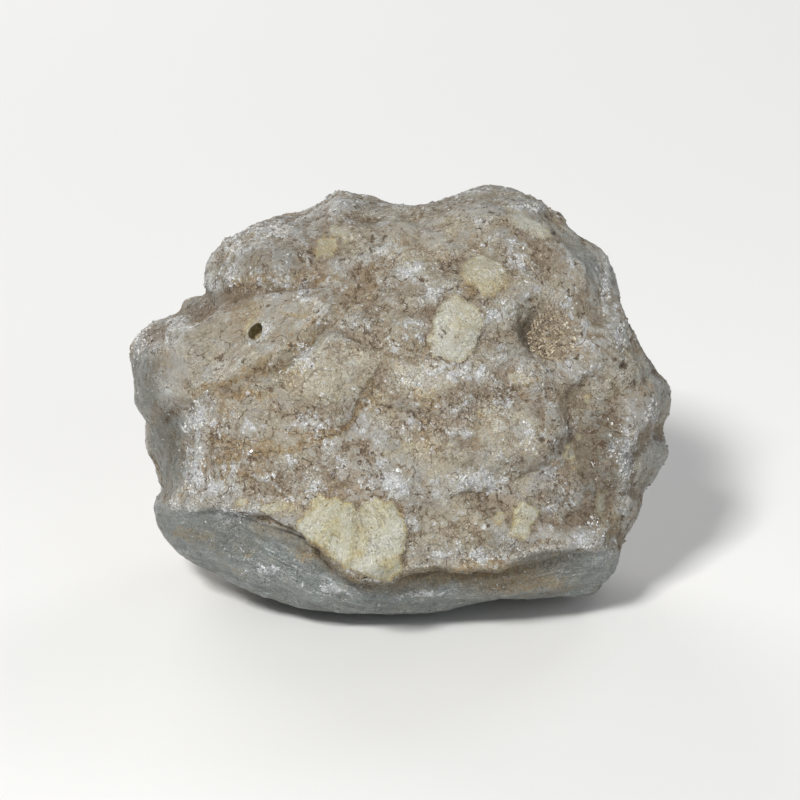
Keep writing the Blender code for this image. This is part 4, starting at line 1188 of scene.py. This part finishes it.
def rind_material(ragged, grain):
    """The stone's finish, from brown dusty hollows darkened further with painted shade, through warm grey
    rind to white sugary quartz, with painted shade in its darker places and under the crust's edge.
    """
    material, sheet, shader, where = new_material("quartz_rind", 1.54)
    plus, times, less, most = sheet.plus, sheet.times, sheet.less, sheet.most
    swing, span, blend, cloud = sheet.swing, sheet.span, sheet.blend, sheet.cloud
    flow = sheet.field("flow", "Vector")
    lie_parts = sheet.add("ShaderNodeSeparateXYZ")
    sheet.feed(lie_parts.inputs[0], flow)
    marked = lie_parts.outputs[2]
    bent = sheet.strayed(where, 0.13, 3.0, 9.0)
    frayed = sheet.strayed(where, 1.1, 2.0, 2.2)
    big = cloud(where, 0.05)
    blotch = cloud(bent, 0.17, 5.0, 0.6)
    flake = cloud(frayed, 0.62, 4.0, 0.66)
    fine = cloud(frayed, 1.6, 3.0, 0.7)
    micro = cloud(where, 2.3, 2.0, 0.9)
    hair = cloud(sheet.along("MULTIPLY", flow, (1.7, 0.08, 0.0)), 1.0, 3.0, 0.65)
    lint = cloud(sheet.along("MULTIPLY", flow, (3.0, 0.30, 0.0)), 1.0, 2.0, 0.8)
    strand = cloud(sheet.along("MULTIPLY", flow, (0.5, 0.035, 0.0)), 1.0, 3.0, 0.55)
    grains = sheet.group(grain, Where=frayed, Size=0.85)
    bits = sheet.group(grain, Where=frayed, Size=1.9)
    hollow = sheet.field("hollow")
    sugar_field = sheet.field("sugar")
    dust_field = sheet.field("dust")
    band_field = sheet.field("band")
    glass_field = sheet.field("glass")
    chalk_field = sheet.field("chalk")
    cover = sheet.field("cover")
    dark_and_shade = sheet.field("dark_and_shade")
    along_fibres = span(marked, 0.3, 1.0)

    # The bare rind
    mottle = times(plus(swing(blotch, 0.46), swing(flake, 0.26)), span(marked, 0.3, 1.0, 1.0, 0.35))
    streak = plus(swing(hair, 0.56), swing(strand, 0.50))
    streak = times(streak, sheet.sum("MULTIPLY_ADD", along_fibres, 0.85, 0.15))
    pale = plus(0.5, mottle, streak, times(less(sugar_field, 0.32), 0.40))
    # Dusty places are darker, and hollows are darkened as painted shade
    pale = less(less(pale, times(less(dust_field, 0.34), 0.50)), swing(hollow, 0.22))
    colour = sheet.tones(
        pale, (0.06, 124, 110, 93), (0.28, 147, 136, 121), (0.44, 159, 152, 139), (0.56, 167, 162, 152),
        (0.74, 181, 180, 174), (0.95, 206, 207, 206),
    )
    colour = blend(span(big, 0.46, 0.60, 0.0, 0.55), colour, tone(166, 157, 136))

    # Clear grey quartz
    glass = sheet.group(ragged, Where=bent, Field=glass_field, Size=0.6, Raggedness=0.6, Softness=0.06)[0]
    glass = times(glass, span(pale, 0.25, 0.55, 0.25, 0.8))
    colour = blend(glass, colour, tone(155, 153, 148))

    # The grey band, with its bright broken edges and its dirt
    band = sheet.group(ragged, Where=where, Field=band_field, Size=0.8, Raggedness=0.6, Softness=0.2)[0]
    layer = plus(0.5, swing(strand, 0.50), swing(hair, 0.16), swing(flake, 0.7), swing(blotch, 0.9))
    band_tone = sheet.tones(
        layer, (0.12, 101, 104, 97), (0.36, 117, 124, 123), (0.60, 135, 142, 142), (0.80, 162, 168, 168),
        (0.95, 192, 197, 196),
    )
    band_tone = blend(span(blotch, 0.55, 0.68, 0.0, 0.5), band_tone, tone(140, 132, 110))
    edges = times(span(hair, 0.54, 0.60), span(flake, 0.51, 0.55), 0.6)
    band_tone = blend(edges, band_tone, tone(194, 198, 198))
    dirt = times(span(blotch, 0.50, 0.58), span(fine, 0.53, 0.58), 0.55)
    band_tone = blend(dirt, band_tone, tone(104, 94, 66))
    colour = blend(times(band, 0.92), colour, band_tone)

    # Ochre stains
    ochre_field = sheet.field("ochre")
    ochre = sheet.group(ragged, Where=bent, Field=ochre_field, Size=0.6, Raggedness=0.9, Softness=0.22)[0]
    rust = sheet.near_half(cloud(bent, 0.42, 3.0, 0.65), 0.060, 0.012, 0.6, 1.15)
    ochre_tone = blend(span(rust, 0.75, 1.15), tone(160, 143, 105), tone(148, 118, 74))
    colour = blend(times(ochre, rust, 0.72, clamp=True), colour, ochre_tone)

    # Chalky crusts
    chalk_edge = sheet.group(
        ragged, Where=frayed, Field=chalk_field, Size=0.55, Raggedness=1.6, Softness=0.08,
    )[0]
    worn = span(plus(flake, times(cover, 0.35)), 0.60, 0.74, 0.3, 1.0)
    chalk = times(chalk_edge, cover, worn)
    yellow = plus(sheet.field("yellow"), swing(blotch, 1.9), span(chalk_field, 0.9, 0.5, 0.0, 0.35))
    yellow = plus(yellow, swing(flake, 0.7), clamp=True)
    chalk_tone = sheet.tones(
        yellow, (0.0, 188, 188, 177), (0.30, 175, 171, 148), (0.60, 176, 164, 124), (0.95, 158, 134, 84),
    )
    lines = times(span(strand, 0.45, 0.66, 0.0, 0.45), span(marked, 0.6, 0.8, 0.3, 1.0))
    chalk_tone = blend(lines, chalk_tone, tone(197, 195, 178))
    chalk_tone = blend(span(fine, 0.62, 0.70, 0.0, 0.6), chalk_tone, tone(140, 126, 98))
    colour = blend(chalk, colour, chalk_tone)
    covered = most(chalk, band)

    # White sugary patches
    frost = plus(cloud(frayed, 0.55, 2.0, 0.6), times(sugar_field, 0.36), swing(blotch, 0.3))
    frost = times(span(frost, 0.74, 0.785), span(chalk, 0.0, 1.0, 0.7, 0.15))
    frost_tone = blend(span(fine, 0.44, 0.58), tone(179, 181, 187), tone(220, 222, 224))
    colour = blend(frost, colour, frost_tone)

    # Darker places, in part the stone's own tone and in part painted shade at its margins, in the pocket and
    # under the crust, and the brown stain under the crust's edge, partly painted shadow of the overhanging
    # crust
    colour = blend(times(dark_and_shade, 0.37, clamp=True), colour, tone(91, 91, 83))
    stain_and_shadow_share = times(sheet.field("stain_and_shadow"), span(flake, 0.34, 0.54, 0.45, 0.95))
    stain_and_shadow_tone = blend(span(fine, 0.42, 0.58), tone(92, 76, 50), tone(132, 112, 76))
    colour = blend(stain_and_shadow_share, colour, stain_and_shadow_tone)

    # Fine light and dark flecks
    lie = times(plus(0.12, along_fibres), span(band, 0.0, 1.0, 1.0, 0.45))
    flecks = plus(
        swing(grains["Lightness"], 0.10), swing(bits["Lightness"], 0.12), swing(fine, 1.4),
        swing(micro, 2.1), times(swing(lint, 1.7), lie),
    )
    busy = span(cloud(bent, 0.11, 3.0, 0.6), 0.40, 0.60)
    flecks = times(
        flecks, span(chalk, 0.0, 1.0, 1.0, 0.6), span(less(marked, band), 0.7, 0.95, 1.0, 0.6),
        span(glass, 0.0, 0.6, 1.0, 0.4), plus(busy, 0.45),
    )
    colour = sheet.along("SCALE", colour, scale=plus(1.0, flecks))

    # Dirty places, their crooked dark lines, painted shade in the deepest hollows and creases, and the line
    # round each crust
    open_rind = span(covered, 0.0, 0.7, 1.0, 0.3)
    cluster = plus(
        cloud(bent, 0.16, 3.0, 0.6), swing(pale, -0.30), times(less(dust_field, 0.36), 0.28),
        times(dark_and_shade, 0.06),
    )
    cluster = span(cluster, 0.53, 0.64)
    colour = blend(times(cluster, 0.28, open_rind), colour, tone(144, 124, 98))
    seam = times(sheet.near_half(cloud(bent, 0.13, 2.0, 0.5), 0.014, 0.005), span(flake, 0.46, 0.54))
    squiggle_line = span(sheet.cells(frayed, 0.62, "DISTANCE_TO_EDGE")["Distance"], 0.13, 0.05)
    squiggle = times(
        squiggle_line, sheet.sum("MULTIPLY_ADD", cluster, 0.97, 0.02), span(flake, 0.44, 0.54),
        span(marked, 0.40, 0.72, 1.0, 0.12),
    )
    rim = times(less(1.0, chalk_edge), chalk_edge, cover, span(flake, 0.46, 0.56, 0.0, 3.2))
    # The deepest hollows and creases are painted dark: painted shade
    sunk = span(plus(hollow, swing(fine, 0.8)), 0.92, 1.10, 0.0, 0.6)
    vein_and_crease_shade = most(times(most(seam, squiggle, sunk), open_rind), rim, clamp=True)
    colour = blend(times(vein_and_crease_shade, 0.95), colour, tone(86, 68, 47))

    # Dark specks, and bright specks that are white quartz flecks and partly painted glints
    speck = sheet.cells(frayed, 1.15)
    near = span(speck["Distance"], 0.32, 0.20)
    chosen = sheet.parts(speck["Color"])[0]
    dark = sheet.sum("GREATER_THAN", chosen, span(cluster, 0.0, 1.0, 0.985, 0.72))
    colour = blend(times(near, dark, 0.8), colour, tone(78, 62, 45))
    light = sheet.sum("LESS_THAN", chosen, span(sugar_field, 0.2, 0.8, 0.05, 0.30))
    light = times(near, light, less(1.0, chalk))
    colour = blend(times(light, 0.85), colour, tone(226, 227, 226))

    # Cracks, and the inside of the pit
    broken = span(plus(sheet.field("crack"), swing(fine, 1.2)), 0.35, 0.75)
    colour = blend(times(broken, 0.85), colour, tone(70, 58, 43))
    pit_tone = blend(span(flake, 0.42, 0.58), tone(150, 138, 108), tone(190, 178, 146))
    sheet.feed(shader.inputs["Base Color"], blend(sheet.field("pit"), colour, pit_tone))

    gloss = times(
        span(pale, 0.35, 0.85, 0.76, 0.42), span(glass, 0.0, 0.6, 1.0, 0.6), span(band, 0.0, 1.0, 1.0, 0.8),
    )
    gloss = most(gloss, times(chalk, 0.85))
    shine = most(times(grains["Glint"], span(pale, 0.4, 0.6)), light)
    sheet.feed(shader.inputs["Roughness"], less(gloss, times(shine, 0.35), clamp=True))

    smooth = most(chalk_field, band_field, glass_field)
    height = plus(
        times(grains["Height"], 0.40), times(bits["Height"], 0.20), swing(flake, 0.8), swing(fine, 0.28),
    )
    height = times(height, span(smooth, 0.4, 0.65, 1.0, 0.5))
    ribbed = times(plus(swing(hair, 0.32), swing(lint, 0.08)), along_fibres)
    height = plus(height, swing(blotch, 0.6), times(ribbed, span(smooth, 0.4, 0.65, 1.0, 0.35)))
    sheet.relief(shader, less(height, times(squiggle_line, 0.12)))
    return material


def crystal_material(grain):
    """Bright, half-clear quartz."""
    material, sheet, shader, where = new_material("bright_quartz", 1.54)
    fine = sheet.cloud(where, 1.3)
    light = sheet.group(grain, Where=where, Size=1.4)["Lightness"]
    colour = sheet.blend(sheet.span(fine, 0.35, 0.65), tone(172, 171, 167), tone(208, 209, 208))
    tinted = sheet.span(sheet.cloud(where, 0.35), 0.55, 0.75, 0.0, 0.5)
    colour = sheet.blend(tinted, colour, tone(186, 174, 152))
    colour = sheet.along("SCALE", colour, scale=sheet.span(light, 0.0, 1.0, 0.86, 1.08))
    sheet.feed(shader.inputs["Base Color"], colour)
    sheet.feed(shader.inputs["Roughness"], sheet.span(light, 0.0, 1.0, 0.18, 0.42))
    sheet.relief(shader, sheet.times(fine, 0.12), 0.6)
    return material


def sand_material(grain):
    """Golden sand and splinters in the pocket."""
    material, sheet, shader, where = new_material("golden_sand", 1.5)
    bits = sheet.group(grain, Where=where, Size=1.1)
    colour = sheet.blend(bits["Lightness"], tone(104, 88, 68), tone(184, 170, 146))
    sheet.feed(shader.inputs["Base Color"], sheet.blend(bits["Glint"], colour, tone(216, 206, 184)))
    sheet.feed(shader.inputs["Roughness"], sheet.span(bits["Lightness"], 0.0, 1.0, 0.75, 0.45))
    return material


# The studio

def put(name, data, place, way):
    """A lamp or the camera in the scene, with its back turned the given way."""
    holder = bpy.data.objects.new(name, data)
    bpy.context.scene.collection.objects.link(holder)
    holder.location = place
    holder.rotation_mode = "QUATERNION"
    holder.rotation_quaternion = way.to_track_quat("Z", "Y")
    return holder


def studio():
    """A plain pale floor, soft light and the camera."""
    pick_none()
    bpy.ops.mesh.primitive_plane_add(size=6.0)
    floor = bpy.context.object
    floor.name = "floor"
    material = bpy.data.materials.new("pale_floor")
    material.use_nodes = True
    shader = material.node_tree.nodes["Principled BSDF"]
    shader.inputs["Base Color"].default_value = (0.80, 0.80, 0.79, 1.0)
    shader.inputs["Roughness"].default_value = 0.9
    floor.data.materials.append(material)

    target = Vector(FACE_MIDDLE) * MM
    lamps = [
        ("key", (-0.75, -1.65, 1.65), 0.40, 61.5, (1.0, 0.99, 0.97)),
        ("fill", (1.20, -1.5, 0.8), 1.2, 8.0, (0.94, 0.97, 1.0)),
        ("rim", (0.8, 1.2, 1.2), 0.7, 5.0, (0.97, 0.98, 1.0)),
        ("back", (-0.9, 1.9, 0.7), 1.4, 27.0, (1.0, 0.99, 0.98)),
        ("side", (2.1, 0.5, 0.7), 1.2, 7.0, (1.0, 0.99, 0.98)),
    ]
    for name, place, size, power, colour in lamps:
        lamp = bpy.data.lights.new(name, "AREA")
        lamp.size = size
        lamp.energy = power
        lamp.color = colour
        put(name, lamp, place, Vector(place) - target)
    world = bpy.data.worlds.new("room")
    world.use_nodes = True
    world.node_tree.nodes["Background"].inputs["Color"].default_value = (0.80, 0.82, 0.84, 1.0)
    world.node_tree.nodes["Background"].inputs["Strength"].default_value = 0.16
    bpy.context.scene.world = world
    bpy.context.scene.view_settings.view_transform = "Standard"

    camera = bpy.data.cameras.new("camera")
    camera.lens = 147.0
    camera.sensor_width = 36.0
    camera.clip_start = 0.01
    back = Vector(FACE_AXES[2])
    bpy.context.scene.camera = put("camera", camera, target + back * VIEW_DISTANCE * MM, back)


studio()
stone = blank_stone()
sculpt_stone(stone)
pit_spot = cut_pit(stone)
stone_fields = finish_fields(stone.data, pit_spot)
set_fields(stone.data, stone_fields)
rind_grains, bright_crystals, pocket_sand = dressed_grains(stone, stone_fields)
ragged_edge = ragged_edge_group()
sugary_grain = sugary_grain_group()
rind = rind_material(ragged_edge, sugary_grain)
bright_quartz = crystal_material(sugary_grain)
golden_sand = sand_material(sugary_grain)
finishes = [(stone, rind), (rind_grains, rind), (bright_crystals, bright_quartz), (pocket_sand, golden_sand)]
for piece, finish in finishes:
    piece.data.materials.clear()
    piece.data.materials.append(finish)
    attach(piece, "root")
    print(piece.name, "triangles", sum(len(face.vertices) - 2 for face in piece.data.polygons))
pick(stone)
bpy.ops.object.shade_smooth()
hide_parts("geode")
